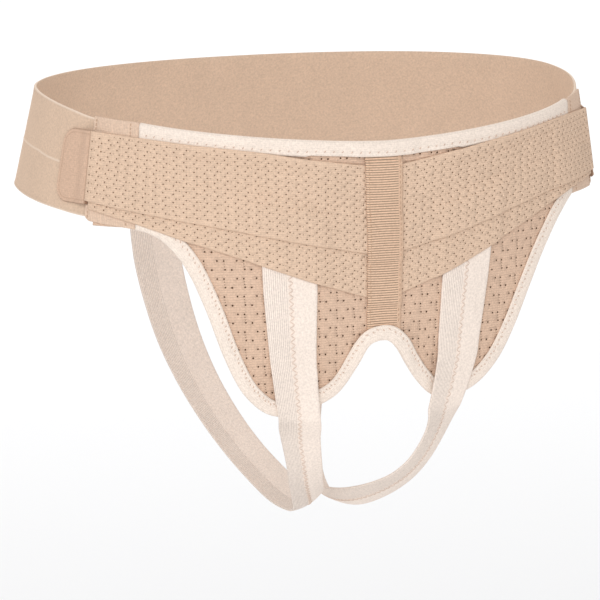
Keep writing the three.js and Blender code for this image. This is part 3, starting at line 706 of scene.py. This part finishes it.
def strap_weave(nodes):
    """Lengthwise ribs on one half of a strap and a plain fuzzy weave on the other. x runs across."""
    x, y, side = nodes.flat()
    place = nodes.new("CombineXYZ", {0: x, 1: nodes.times(y, 0.5), 2: side}).outputs[0]
    ribbed = nodes.wave(x, STRAP_RIB, 0.8)
    plain = nodes.math("MULTIPLY_ADD", nodes.noise(1.1, 3, place), 0.9, 0.25)
    where = nodes.math("GREATER_THAN", x, -1.8)
    return nodes.new("Mix", {0: where, 2: ribbed, 3: plain}).outputs[0]


def edge_marks(nodes):
    return nodes.new("Attribute", attribute_name="mark").outputs["Fac"]


def pale_rim_and_painted_crease_highlight(nodes):
    """The back belt's pale rim, and a painted highlight along the crease's ridge, by distance from them.
    """
    band = nodes.fade(edge_marks(nodes), 1.3)
    outside = nodes.math("SUBTRACT", 1.0, nodes.flat()[2])
    return nodes.times(nodes.times(band, 0.8), outside), (246, 228, 210)


def tab_lines_and_painted_shadow(nodes):
    """The hook tab's dark outline, a dark line along the groove inside its welt, and a painted shadow
    cast by the band's end.
    """
    away = edge_marks(nodes)
    offset = nodes.math("ABSOLUTE", nodes.math("SUBTRACT", away, TAB_GROOVE))
    groove = nodes.fade(offset, 0.5)
    rim = nodes.fade(away, 0.6)
    lines = nodes.times(nodes.math("MAXIMUM", nodes.times(groove, 0.5), rim), 0.6)
    # painted shadow: the tab darkens towards the band's end, as if the band cast it
    past = nodes.math("SUBTRACT", nodes.math("ABSOLUTE", nodes.flat()[0]), BAND_REACH)
    shade = nodes.math("SUBTRACT", 0.9, nodes.math("MINIMUM", nodes.math("DIVIDE", past, 1.6), 0.9))
    return nodes.math("MAXIMUM", lines, shade), (140, 106, 84)


# Dark material for the walls and floors of pits: painted shade in the holes.
def pit(name, rgb):
    material = new_material(name)
    nodes = Nodes(material)
    shade = nodes.math("MULTIPLY_ADD", nodes.noise(1500, 1), 0.4, 0.8)
    colour = nodes.new("Mix", {6: [0, 0, 0, 1], 7: linear(rgb), 0: shade}, data_type="RGBA")
    nodes.tree.links.new(colour.outputs[2], nodes.shader.inputs["Base Color"])
    set_inputs(nodes.shader, {"Roughness": 1.0, "Specular IOR Level": 0.1})
    return material


# Pitches of ribs, and the hook tab's groove by its distance from the edge
WEBBING_RIB = 1.45
STRAP_RIB = 1.3
TAB_GROOVE = 2.1
# groove sets how dark each material paints the shade in its low places
MATERIALS = {
    "panel": fabric("perforated_mesh", (222, 190, 166), knit(1.5, 1.7), depth=0.2, groove=0.84),
    "band": fabric("pinholed_knit", (226, 196, 171), knit(1.25, 1.4), depth=0.16, groove=0.86),
    "belt": fabric("brushed_loop", (222, 194, 170), nap, depth=0.16, sheen=0.4, tint=pale_rim_and_painted_crease_highlight),
    "tab": fabric("hook_tape", (214, 181, 157), hooks, 0.65, depth=0.1, groove=0.92, tint=tab_lines_and_painted_shadow),
    "facing": fabric("ribbed_elastic", (223, 195, 173), ribs(1.1, cross=0.9), depth=0.1),
    # the webbing's grooves get a strong painted shade
    "webbing": fabric("webbing_yarn", (231, 196, 168), webbing_ribs, depth=0.05, groove=0.14),
    "binding": fabric("cream_tape", (243, 228, 215), knit(1.2, 1.2), depth=0.14, groove=0.93),
    "strap": fabric("cream_elastic", (246, 231, 219), strap_weave, depth=0.26, groove=0.82),
    "band_pit_painted_shade": pit("band_pit_painted_shade", (132, 96, 70)),
    "panel_pit_painted_shade": pit("panel_pit_painted_shade", (104, 72, 50)),
    # the strap's stitch thread, darker than the cream strap as painted shade of the zigzag stitches
    "cream_thread_painted_shade": fabric("cream_thread_painted_shade", (228, 208, 193), ribs(0.3), depth=0.03),
    "binding_thread": fabric("binding_thread", (216, 190, 173), ribs(0.3), depth=0.03),
    "tan_thread": fabric("tan_thread", (196, 164, 138), ribs(0.3), depth=0.03),
}


def dress(piece, slot, *names):
    """Gives a piece its materials and its body; slot is not used."""
    for name in names:
        piece.data.materials.append(MATERIALS[name])
    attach(piece, "root")
    return piece


def sew(name, slot, thread, radius, *rows):
    """One piece of stitches, from rows of starts, ends and normals."""
    stitches = threads(name, *(np.concatenate(part) for part in zip(*rows)), radius)
    return dress(stitches, slot, thread)


def polyline(*runs):
    """A closed outline from runs of points, with points that meet left out."""
    points = np.concatenate([np.asarray(r, float) for r in runs])
    keep = np.linalg.norm(points - np.roll(points, 1, axis=0), axis=1) > 0.05
    return points[keep]


def run(a, b, step, height):
    """Points along an edge from arc a to arc b."""
    arc = np.linspace(a, b, max(2, int(abs(b - a) / step) + 1))
    return np.stack([arc, height(arc) + 0 * arc], 1)


def climb_run(arc, low, high, step):
    z = np.linspace(low, high, max(2, int(abs(high - low) / step) + 1))
    return np.stack([0 * z + arc, z], 1)


def anticlockwise(outline):
    x, y = outline.T
    turn = np.sum(x * np.roll(y, -1) - y * np.roll(x, -1))
    return outline if turn > 0 else outline[::-1]


# Front panel
EYELET_COLUMN = 11.5
EYELET_ROW = 10.65
EYELET_START = (1.4, -14.3)
# right, down, radius, sides of one motif's holes
EYELETS = np.array([
    (0, 0, 0.54, 8), (3.9, 0.1, 0.52, 8), (4.1, 1.9, 0.28, 5), (4.3, 3.5, 0.28, 5),
    (4.6, 5.2, 0.52, 8), (8.5, 5.4, 0.58, 8),
])


def front_panel():
    fold = BINDING_WALL + PLY_GAP
    end = FRONT_REACH + FACING_WIDTH - PANEL_TUCK
    s = np.linspace(0, LOWER.length, int(LOWER.length / 2.5))
    low = np.stack(LOWER.place(s, fold), 1)
    top = float(top_edge(FRONT_REACH)) - fold
    outline = polyline(
        run(-end, low[0, 0], 2.5, lambda a: low[0, 1]),
        low,
        run(low[-1, 0], end, 2.5, lambda a: low[-1, 1]),
        climb_run(end, low[-1, 1], top, 2.5),
        run(end, -end, 2.5, lambda a: top_edge(np.minimum(np.abs(a), FRONT_REACH)) - fold),
        climb_run(-end, top, low[0, 1], 2.5),
    )
    pits = []
    for i in range(-17, 17):
        for j in range(-3, 16):
            x, y = EYELET_START[0] + i * EYELET_COLUMN, EYELET_START[1] - j * EYELET_ROW
            for right, down, radius, sides in EYELETS:
                pits.append((x + right, y - down, radius, sides))
    pits = np.array(pits)
    pits = pits[inside(pits[:, :2], outline)]
    pits = pits[edge_distance(pits[:, :2], outline) > 2.2]
    piece = cut_cloth(
        "front_panel_cloth", outline, lambda a, z: 0 * a, PANEL_WALL, 3.2, pits,
        pit_depth=0.85, back_depth=0.35,
    )
    dress(piece, "mesh_cloth", "panel", "panel_pit_painted_shade")
    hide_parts("front_panel")


# Bands
PIN_COLUMN = 5.9
PIN_STEP = 2.4
PIN_SWING = 1.6
PIN_RADIUS = 0.4
DIMPLE_RADIUS = 0.27
DIMPLE_AWAY = 2


def pinholes(outline, side, row_height, margin):
    """Zigzag columns of pinholes whose rows follow the band, and faint dimples beside them."""
    pits = []
    for i in range(0, int(BAND_REACH / PIN_COLUMN) + 1):
        for j in range(-26, 26):
            swing = PIN_SWING / 2 if j % 2 else -PIN_SWING / 2
            arc = side * ((i + 0.25) * PIN_COLUMN + swing)
            pits.append((arc, row_height(arc) + j * PIN_STEP, PIN_RADIUS, 7))
            if j % 2 == 0:
                beside = arc - side * DIMPLE_AWAY
                pits.append((beside, row_height(beside) + j * PIN_STEP, DIMPLE_RADIUS, 5))
    pits = np.array(pits)
    pits = pits[inside(pits[:, :2], outline)]
    return pits[edge_distance(pits[:, :2], outline) > margin]


def band(which, side, word):
    upper = which == "upper"
    end = BAND_REACH if upper else TAB_START - PLY_GAP
    low, high = ("seam", "top") if upper else ("hem", "seam")
    rise = 0 if upper else BAND_OVERLAP
    bottom = run(PLY_GAP * side, end * side, 2.5, lambda a: band_edge(low, a))
    top = run(end * side, PLY_GAP * side, 2.5, lambda a: band_edge(high, a) + rise)
    outer_end = climb_run(end * side, bottom[-1, 1], top[0, 1], 2.5)
    inner_end = climb_run(PLY_GAP * side, top[-1, 1], bottom[0, 1], 2.5)
    outline = anticlockwise(polyline(bottom, outer_end, top, inner_end))

    def row_height(arc):
        if upper:
            return (band_edge("seam", arc) + band_edge("top", arc)) / 2
        return band_edge("hem", arc)

    pits = pinholes(outline, side, row_height, 1.5)
    base = upper_band_base if upper else lower_band_base
    name = f"{which}_band_{word}_cloth"
    piece = cut_cloth(name, outline, base, BAND_WALL, 3, pits, pit_depth=0.6)
    dress(piece, "band_cloth", "band", "band_pit_painted_shade")
    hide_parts(f"{which}_band_{word}")


# Bindings
STITCH_DEPTH = 0.7
BINDING_PITCH = 5.3
BINDING_THREAD = 0.27  # radius


def webbing_lift(arc, z):
    start = WEBBING_WIDTH / 2 + 3 * RAMP_MARGIN
    away = np.abs(arc - webbing_middle(z))
    return (WEBBING_WALL + PLY_GAP) * (1 - ease(away, start, start + RAMP))


def binding(name, edge, width_at):
    """Tape folded round an edge: a U section with a full round fold, and zigzag stitches."""
    s = np.linspace(0, edge.length, int(edge.length / 1.6))
    front, back = ON_PANEL + BINDING_WALL, -PLY_GAP - BINDING_WALL
    middle, half = (front + back) / 2, (front - back) / 2
    turn = np.linspace(0, math.pi, 9)[1:-1]
    layer = np.linspace(1, 0.2, 9)
    fold = half * 0.85
    inner_half = half - BINDING_WALL
    width = width_at(np.interp(s, edge.s, edge.arc))[:, None]

    def section(outward, inward, depth, reach):
        """Depths from the folded edge and distances out, from the front layer's rim to the back's."""
        rows = (len(s), 1)
        depths = [width * layer, np.tile(depth, rows), width * layer[::-1]]
        outs = [np.full(9, outward), middle + reach * np.cos(turn), np.full(9, inward)]
        return np.concatenate(depths, 1), np.tile(np.concatenate(outs), rows)

    bend = fold * (1 - np.sin(turn))
    outside = section(front, back, bend, half)
    within = section(ON_PANEL, -PLY_GAP, bend + BINDING_WALL * np.sin(turn), inner_half)
    on_front = outside[1] > middle
    share = np.clip(outside[0] / width, 0, 1)
    seam = bell(share, STITCH_DEPTH, 0.1)
    pucker = 0.5 + 0.5 * np.cos(4 * math.pi * s / BINDING_PITCH)[:, None]
    rim = np.clip(1 - width * (1 - share) / 0.9, 0, 1)
    shape = 0.22 * np.sin(share * math.pi) - seam * (0.2 + 0.14 * pucker) - 0.3 * rim

    def grid(profile, detail):
        depth, out = profile
        arc, z = edge.place(s[:, None], depth)
        return skin(arc, z, out + on_front * (webbing_lift(arc, z) + detail))

    flat = np.stack(np.broadcast_arrays(s[:, None], outside[0]), -1)
    piece = loft(f"{name}_tape", grid(outside, shape), grid(within, 0), flat)
    dress(piece, "binding_tape", "binding")
    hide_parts(name)

    # slanted stitches, apart from each other
    pitch = BINDING_PITCH if edge is TOP else BINDING_PITCH / 2
    at = np.arange(BINDING_PITCH, edge.length - BINDING_PITCH, pitch)
    upper = 0.1 * (np.arange(len(at)) % 2) * (edge is LOWER)
    ends = []
    for shift, depth in ((-0.5, 0.76), (0.5, 0.62)):
        share = depth + upper
        arc, z = edge.place(at + shift, share * np.interp(at, s, width[:, 0]))
        ends.append(skin(arc, z, front + webbing_lift(arc, z) + 0.02))
    normals = hip_normals(arc, z)
    sewn = (*ends, normals)
    stitches = sew(f"{name}_stitches", "binding_tape", "binding_thread", BINDING_THREAD, sewn)


# End facings
FACING_RIB = 1.35
FACING_SEAMS = (5.5, 29.5)
FACING_STITCH = 1.8
FACING_STITCH_PITCH = 2.3
SEAM_THREAD = 0.22  # radius


def facing_bottom(arc, side):
    along = (np.abs(arc) - FRONT_REACH) / FACING_WIDTH
    corner = turned_in(arc, FRONT_REACH + FACING_WIDTH, FACING_CORNER)
    return FACING_CANT[side] * along - FACING_DROP[side] + corner


def facing_top(arc):
    return float(top_edge(FRONT_REACH)) + FACING_RISE * (np.abs(arc) - FRONT_REACH) / FACING_WIDTH


def end_facing(side, word):
    end = FRONT_REACH + FACING_WIDTH
    turn = np.radians([9, 18, 27, 36, 47, 58, 72])
    corner = end - FACING_CORNER * (1 - np.sin(turn))
    arcs = np.concatenate([np.linspace(FRONT_REACH, end - FACING_CORNER, 36), corner, [end]])
    arcs = np.sort(arcs * side)
    low, high = facing_bottom(arcs, side)[:, None], facing_top(arcs)[:, None]
    share = np.linspace(0, 1, int(FACING_DROP[side] * 1.6 / FACING_RIB) * 5)
    z = low + (high - low) * share[None, :]
    arc = np.broadcast_to(arcs[:, None], z.shape)
    raised = 0.18 * np.abs(np.sin(math.pi * z / FACING_RIB)) ** 0.7
    outward = np.abs(arc) - FRONT_REACH
    seams = sum(bell(outward, at, 0.7) for at in FACING_SEAMS)
    near = np.minimum(np.minimum(outward, FACING_WIDTH - outward), np.minimum(z - low, high - z))
    rounding = 0.35 * np.clip(1 - near / 0.8, 0, 1) ** 2
    out = ON_PANEL + FACING_WALL - 0.14 + raised - 0.3 * np.clip(seams, 0, 1) - rounding
    flat = np.stack([arc, z], -1)
    piece = loft(f"end_facing_{word}_elastic", skin(arc, z, out), skin(arc, z, ON_PANEL), flat)
    dress(piece, "end_elastic", "facing")
    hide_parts(f"end_facing_{word}")
    on_top = ON_PANEL + FACING_WALL - 0.2
    rows = []
    for at in FACING_SEAMS:
        lowest = facing_bottom(FRONT_REACH + at, side)
        s = np.arange(lowest + 1.2, facing_top(FRONT_REACH + at) - 2.6, FACING_STITCH_PITCH)
        a = 0 * s + side * (FRONT_REACH + at)
        rows.append((skin(a, s, on_top), skin(a, s + FACING_STITCH, on_top), hip_normals(a, s)))
    stitches = sew(f"end_facing_{word}_stitches", "end_elastic", "tan_thread", SEAM_THREAD, *rows)


# Hook tabs
def hook_tab(side, word):
    end, half = BAND_REACH + TAB_OUT, TAB_HEIGHT / 2
    start, straight = TAB_START, BAND_REACH + TAB_OUT - TAB_CORNER
    turn = np.linspace(0, math.pi / 2, 7)
    corner = np.stack([straight + TAB_CORNER * np.sin(turn), TAB_CORNER * (1 - np.cos(turn)) - half], 1)
    lower_half = np.concatenate([
        run(start, straight, 2, lambda a: -half), corner, climb_run(end, TAB_CORNER - half, 0, 2),
    ])
    upper_half = (lower_half * (1, -1))[::-1]
    outline = polyline(lower_half, upper_half, climb_run(start, half, -half, 2))
    outline = anticlockwise(outline * (side, 1) + (0, TAB_CENTRE[side]))
    facing_end = FRONT_REACH + FACING_WIDTH + RAMP_MARGIN

    def base(arc, z):
        return ON_FACING * (1 - ease(np.abs(arc), facing_end, facing_end + RAMP))

    def relief(flat, away):
        return 0.32 * bell(away, 1, 0.6) - 0.2 * bell(away, TAB_GROOVE, 0.45)

    piece = cut_cloth(f"hook_tab_{word}_tape", outline, base, TAB_WALL, 0.9, relief=relief)
    dress(piece, "hook_tape", "tab", "tab")
    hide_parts(f"hook_tab_{word}")


# Centre webbing
WEBBING_STITCH = 2.4
WEBBING_STITCH_PITCH = 3.1


def webbing_levels(reach):
    """Heights between which the webbing gains or loses a band ply under it."""
    sides = np.array([-reach, reach])
    hem, seam = (float(band_edge(column, 0)) for column in ("hem", "seam"))
    overlap = float(np.max(band_edge("seam", sides))) + BAND_OVERLAP + RAMP_MARGIN + RAMP
    clear = float(np.max(band_edge("top", sides))) + RAMP_MARGIN / 3
    return [
        (hem - RAMP_MARGIN - RAMP / 2, hem - RAMP_MARGIN, 1),
        (seam - RAMP_MARGIN - RAMP / 2, seam - RAMP_MARGIN, 1),
        (overlap - RAMP + RAMP_MARGIN, overlap + RAMP_MARGIN, -1),
        (clear, clear + RAMP / 3, -1),
    ]


def centre_webbing():
    top = TOP_CENTRE - NARROW_WIDTH + WEBBING_TUCK
    bottom = float(lower_edge(0)) + BINDING_WIDTH - WEBBING_TUCK
    z = np.linspace(bottom, top, int((top - bottom) / WEBBING_RIB * 7))[None, :]
    half = WEBBING_WIDTH / 2
    across = np.linspace(-half, half, 25)[:, None]
    arc = across + webbing_middle(z)
    reach = half + max(abs(webbing_middle(bottom)), abs(webbing_middle(top)))
    level = sum(sign * ease(z, low, high) for low, high, sign in webbing_levels(reach))
    out = ON_PANEL + BAND_PLY * level + 0 * arc
    slant = 0.16 * across / half + 0.3 * np.sin(z / 9) * (across / half) ** 2
    raised = np.abs(np.sin(math.pi * (z + slant) / WEBBING_RIB)) ** 0.55
    plain = ease(across, half - 3.2, half - 2.2)
    side = np.clip(1 - (half - np.abs(across)) / 1.1, 0, 1)
    relief = 0.36 * raised * (1 - 0.6 * side) * (1 - 0.75 * plain) - 0.25 * side + 0.2 * plain
    outer, inner = skin(arc, z, out + WEBBING_WALL - 0.26 + relief), skin(arc, z, out)
    flat = np.stack(np.broadcast_arrays(across, z + slant), -1)
    piece = loft("centre_webbing_ribs", outer, inner, flat)
    dress(piece, "ribbed_webbing", "webbing")
    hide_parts("centre_webbing")
    rows = []
    for at in (-half + 1.9, half - 1.6):
        s = np.arange(bottom + 7, top - 9, WEBBING_STITCH_PITCH)
        lift = ON_PANEL + BAND_PLY * np.interp(s, z[0], level[0]) + WEBBING_WALL
        a, b = at + webbing_middle(s), at + webbing_middle(s + WEBBING_STITCH)
        rows.append((skin(a, s, lift), skin(b, s + WEBBING_STITCH, lift), hip_normals(a, s)))
    stitches = sew("centre_webbing_stitches", "ribbed_webbing", "tan_thread", SEAM_THREAD, *rows)


# Back belt
# arc from the front centre and height of the worn crease on the right side
CREASE = np.array([(207, -4.2), (219, -3), (231, -1), (252, 0), (272, 0.5)])


def back_belt():
    start, end = BELT_START, 2 * HALF_GIRTH - BELT_START
    outline = polyline(
        run(start, end, 3.5, lambda a: belt_edge("bottom", a)),
        climb_run(end, float(belt_edge("bottom", end)), float(belt_edge("top", end)), 3.5),
        run(end, start, 3.5, lambda a: belt_edge("top", a)),
        climb_run(start, float(belt_edge("top", start)), float(belt_edge("bottom", start)), 3.5),
    )
    crease_arc = np.linspace(CREASE[0, 0], CREASE[-1, 0], 60)
    crease_z = np.interp(crease_arc, CREASE[:, 0], CREASE[:, 1])
    crease = np.stack([2 * HALF_GIRTH - crease_arc, crease_z], 1)

    def relief(flat, away):
        rim = 0.28 * bell(away, 1.0, 0.7)
        line = np.interp(flat[:, 0], crease[::-1, 0], crease[::-1, 1], left=1e3, right=1e3)
        return rim + 0.4 * bell(flat[:, 1], line, 0.55)

    piece = cut_cloth(
        "back_belt_cloth", outline, lambda a, z: UNDER_PANEL + 0 * a, BELT_WALL, 4, relief=relief,
        line=crease,
    )
    dress(piece, "loop_cloth", "belt", "belt")
    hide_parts("back_belt")


# Leg straps
STRAP_COLUMNS = 33
ROW_PROBE = 0.1  # step for directions along the route, in rows
STRAP_STITCH_PITCH = 2.1
STRAP_STITCH_SWING = 1.5
STRAP_THREAD = 0.26  # radius


def strap_climb(side):
    """Height at which the strap leaves the lower binding's rim."""
    middle = STRAP_SPREAD - STRAP_TAPER * LOBE_DROP - STRAP_DRAW[side]
    return RIM_Z[np.abs(np.abs(RIM_ARC) - middle) < STRAP_FLAT].max() + RAMP_MARGIN


def catmull(points, row):
    """A centripetal Catmull-Rom curve through points, at fractional rows."""
    ext = np.concatenate([[2 * points[0] - points[1]], points, [2 * points[-1] - points[-2]]])
    out = []
    for r in np.atleast_1d(row):
        k = int(min(max(math.floor(r), 0), len(points) - 2))
        u = r - k
        p = ext[k : k + 4]
        d = [max(np.linalg.norm(p[i + 1] - p[i]) ** 0.5, 1e-4) for i in range(3)]
        m1 = (p[1] - p[0]) / d[0] - (p[2] - p[0]) / (d[0] + d[1]) + (p[2] - p[1]) / d[1]
        m2 = (p[2] - p[1]) / d[1] - (p[3] - p[1]) / (d[1] + d[2]) + (p[3] - p[2]) / d[2]
        m1, m2 = m1 * d[1], m2 * d[1]
        out.append(hermite(u, p[1], p[2], m1, m2))
    return np.array(out)


def strap_sections(side):
    """Inner side of a strap, built on the left: rows of points across it, from its top end round to
    the rear."""
    w = np.linspace(-0.5, 0.5, STRAP_COLUMNS)
    climb = strap_climb(side)
    z = np.linspace(STRAP_TOP, -LOBE_DROP, 22)
    width = STRAP_WIDTH * np.interp(z, [-LOBE_DROP, -LOBE_DROP / 2], [STRAP_NECK, 1])
    out = ON_PANEL + (ON_BINDING - ON_PANEL) * (1 - ease(z, climb, climb + RAMP))
    bent = (np.maximum(STRAP_BEND - z, 0) / (STRAP_BEND + LOBE_DROP)) ** 2
    path = STRAP_SPREAD + STRAP_TAPER * z - STRAP_DRAW[side] * bent
    out = out[:, None] + STRAP_LIFT * bent[:, None] * (0.5 - w)
    front = skin(path[:, None] + w[None, :] * width[:, None], z[:, None], out)
    rear_z = np.linspace(REAR_LOW, REAR_TOP, 12)
    rear_arc = HALF_GIRTH - REAR_SPREAD - REAR_TAPER * rear_z
    rear = skin(rear_arc[:, None] - w[None, :] * STRAP_WIDTH, rear_z[:, None], 0)
    mid = STRAP_COLUMNS // 2
    route = STRAP_ROUTE[:, :3] * (STRAP_SPREAD, HIP_FRONT_DEPTH, -CROTCH_DROP)
    centres = np.concatenate([front[-2:, mid], route, rear[:2, mid]])
    rows = 1 + np.arange(1, 2 * len(route) + 1) * (len(route) + 1) / (2 * len(route) + 1)
    keys = np.arange(1, len(route) + 2).astype(float)
    held = np.minimum(rows, len(route) + 1)
    table = np.concatenate([[STRAP_START], STRAP_ROUTE[:, 3:]])
    widths, lean, turn, cup = (look_up(keys, column, held) for column in table.T)
    centre = catmull(centres, rows)
    ahead = unit(catmull(centres, rows + ROW_PROBE) - catmull(centres, rows - ROW_PROBE))
    turn, lean = np.radians(turn), np.radians(lean)
    across = np.stack([np.cos(turn), np.sin(turn), -np.tan(lean)], 1)
    squared = ease(rows, 1, SQUARED_ROW)[:, None]
    across = unit(across - ahead * np.sum(across * ahead, axis=1, keepdims=True) * squared)
    outward = unit(np.cross(ahead, across))
    widths = widths * STRAP_WIDTH
    free = (
        centre[:, None]
        + across[:, None] * (w[None, :] * widths[:, None])[..., None]
        - outward[:, None] * ((cup * widths)[:, None] * 4 * w[None, :] ** 2)[..., None]
    )
    return np.concatenate([front, free, rear])


def resample(sections, step):
    """Smooths the strap along its length and gives rows a step apart, with their lengths."""
    mid = sections.shape[1] // 2
    s = lengths(sections[:, mid])
    length = s[-1]
    at = np.linspace(0, length, int(length / step))
    flat = sections.reshape(len(s), -1)
    slope = np.gradient(flat, s, axis=0)
    i = np.clip(np.searchsorted(s, at) - 1, 0, len(s) - 2)
    span = (s[i + 1] - s[i])[:, None]
    t = (at - s[i])[:, None] / span
    made = hermite(t, flat[i], flat[i + 1], slope[i], slope[i + 1], span)
    return made.reshape(len(at), -1, 3), at


def leg_strap(side, word):
    inner, length = resample(strap_sections(side), 2)
    normal = unit(np.cross(np.gradient(inner, axis=0), np.gradient(inner, axis=1)))
    w = np.linspace(-0.5, 0.5, STRAP_COLUMNS)
    near = (0.5 - np.abs(w)) * STRAP_WIDTH
    rim = np.clip(1 - near / 1.1, 0, 1) ** 2
    channel = bell(w * STRAP_WIDTH, 0, 2.1)
    wall = STRAP_WALL * (1 - 0.35 * rim) - 0.22 * channel
    outer = inner + normal * wall[None, :, None]
    inner = inner + normal * (STRAP_WALL * 0.15 * rim)[None, :, None]
    flip = np.array([side, 1, 1])
    flat = np.stack(np.broadcast_arrays(w[None, :] * STRAP_WIDTH * side, length[:, None]), -1)
    if side < 0:
        outer, inner, flat, normal = (v[:, ::-1] for v in (outer, inner, flat, normal))
    outer, inner = outer * flip, inner * flip
    normal = normal * flip
    piece = loft(f"leg_strap_{word}_elastic", outer, inner, flat)
    dress(piece, "strap_elastic", "strap")
    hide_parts(f"leg_strap_{word}")

    at = np.arange(4, length[-1] - 6, STRAP_STITCH_PITCH)
    row = np.interp(at, length, np.arange(len(length)))
    mid = STRAP_COLUMNS // 2
    low, part = row.astype(int), (row % 1)[:, None]
    centre = outer[low, mid] * (1 - part) + outer[np.minimum(low + 1, len(length) - 1), mid] * part
    sideways = unit(outer[low, mid + 1] - outer[low, mid - 1])
    swing = np.where(np.arange(len(at)) % 2, STRAP_STITCH_SWING, -STRAP_STITCH_SWING)
    zig = centre + sideways * swing[:, None]
    out = normal[low, mid]
    zig = zig + out * 0.1
    sewn = (zig[:-1], zig[1:], out[:-1])
    stitches = sew(f"leg_strap_{word}_stitches", "strap_elastic", "cream_thread_painted_shade", STRAP_THREAD, sewn)


front_panel()
for side, word in ((-1, "right"), (1, "left")):
    band("upper", side, word)
    band("lower", side, word)
    end_facing(side, word)
    hook_tab(side, word)
    leg_strap(side, word)
binding("top_binding", TOP, top_width)
binding("lower_binding", LOWER, lambda arc: BINDING_WIDTH + 0 * arc)
centre_webbing()
back_belt()

# Floor, light and camera, in metres, watts and degrees
FLOOR_DEPTH = 0.88
DAYLIGHT = 0.68


def floor():
    bpy.ops.mesh.primitive_plane_add(size=30, location=(0, 0, -FLOOR_DEPTH))
    plane = bpy.context.object
    plane.name = "floor"
    material = new_material("pale_floor")
    shader = material.node_tree.nodes["Principled BSDF"]
    set_inputs(shader, {"Base Color": (0.9, 0.9, 0.905, 1), "Roughness": 0.9})
    plane.data.materials.append(material)


def aim(thing, target):
    thing.rotation_euler = (Vector(target) - thing.location).to_track_quat("-Z", "Y").to_euler()


def softbox(name, place, size, power, target=(0, 0, -0.08)):
    light = bpy.data.lights.new(name, "AREA")
    light.shape = "SQUARE"
    light.size = size
    light.energy = power
    lamp = new_object(name, light)
    lamp.location = place
    aim(lamp, target)


def daylight(strength):
    world = bpy.data.worlds.new("studio")
    world.use_nodes = True
    background = world.node_tree.nodes["Background"]
    set_inputs(background, {"Color": (1, 1, 1, 1), "Strength": strength})
    bpy.context.scene.world = world


VIEW_AZIMUTH = -21.46
VIEW_ELEVATION = 11.25
VIEW_DISTANCE = 2.280
VIEW_TARGET = Vector((-0.0043, 0.0017, -0.1058))
SENSOR = 36
FOCAL_PIXELS = 3718
PICTURE_PIXELS = 600


def camera():
    data = bpy.data.cameras.new("camera")
    data.sensor_width = SENSOR
    data.lens = FOCAL_PIXELS * SENSOR / PICTURE_PIXELS
    eye = new_object("camera", data)
    a, e = math.radians(VIEW_AZIMUTH), math.radians(VIEW_ELEVATION)
    back = Vector((math.sin(a) * math.cos(e), -math.cos(a) * math.cos(e), math.sin(e)))
    eye.location = VIEW_TARGET + back * VIEW_DISTANCE
    aim(eye, VIEW_TARGET)
    bpy.context.scene.camera = eye


floor()
daylight(DAYLIGHT)
softbox("key", (-1.2, -1.9, 1.0), 1.3, 22)
softbox("fill", (1.5, -1.6, 0.3), 1.4, 1.5)
softbox("low", (-0.8, -2.1, -0.5), 0.9, 4.5)
# the far floor is lit on its own, so that it shows white behind the belt
softbox("floor_light", (2.4, 6.2, 2.2), 9, 190, target=(2.4, 6.2, -FLOOR_DEPTH))
camera()
bpy.context.scene.view_settings.view_transform = "Standard"
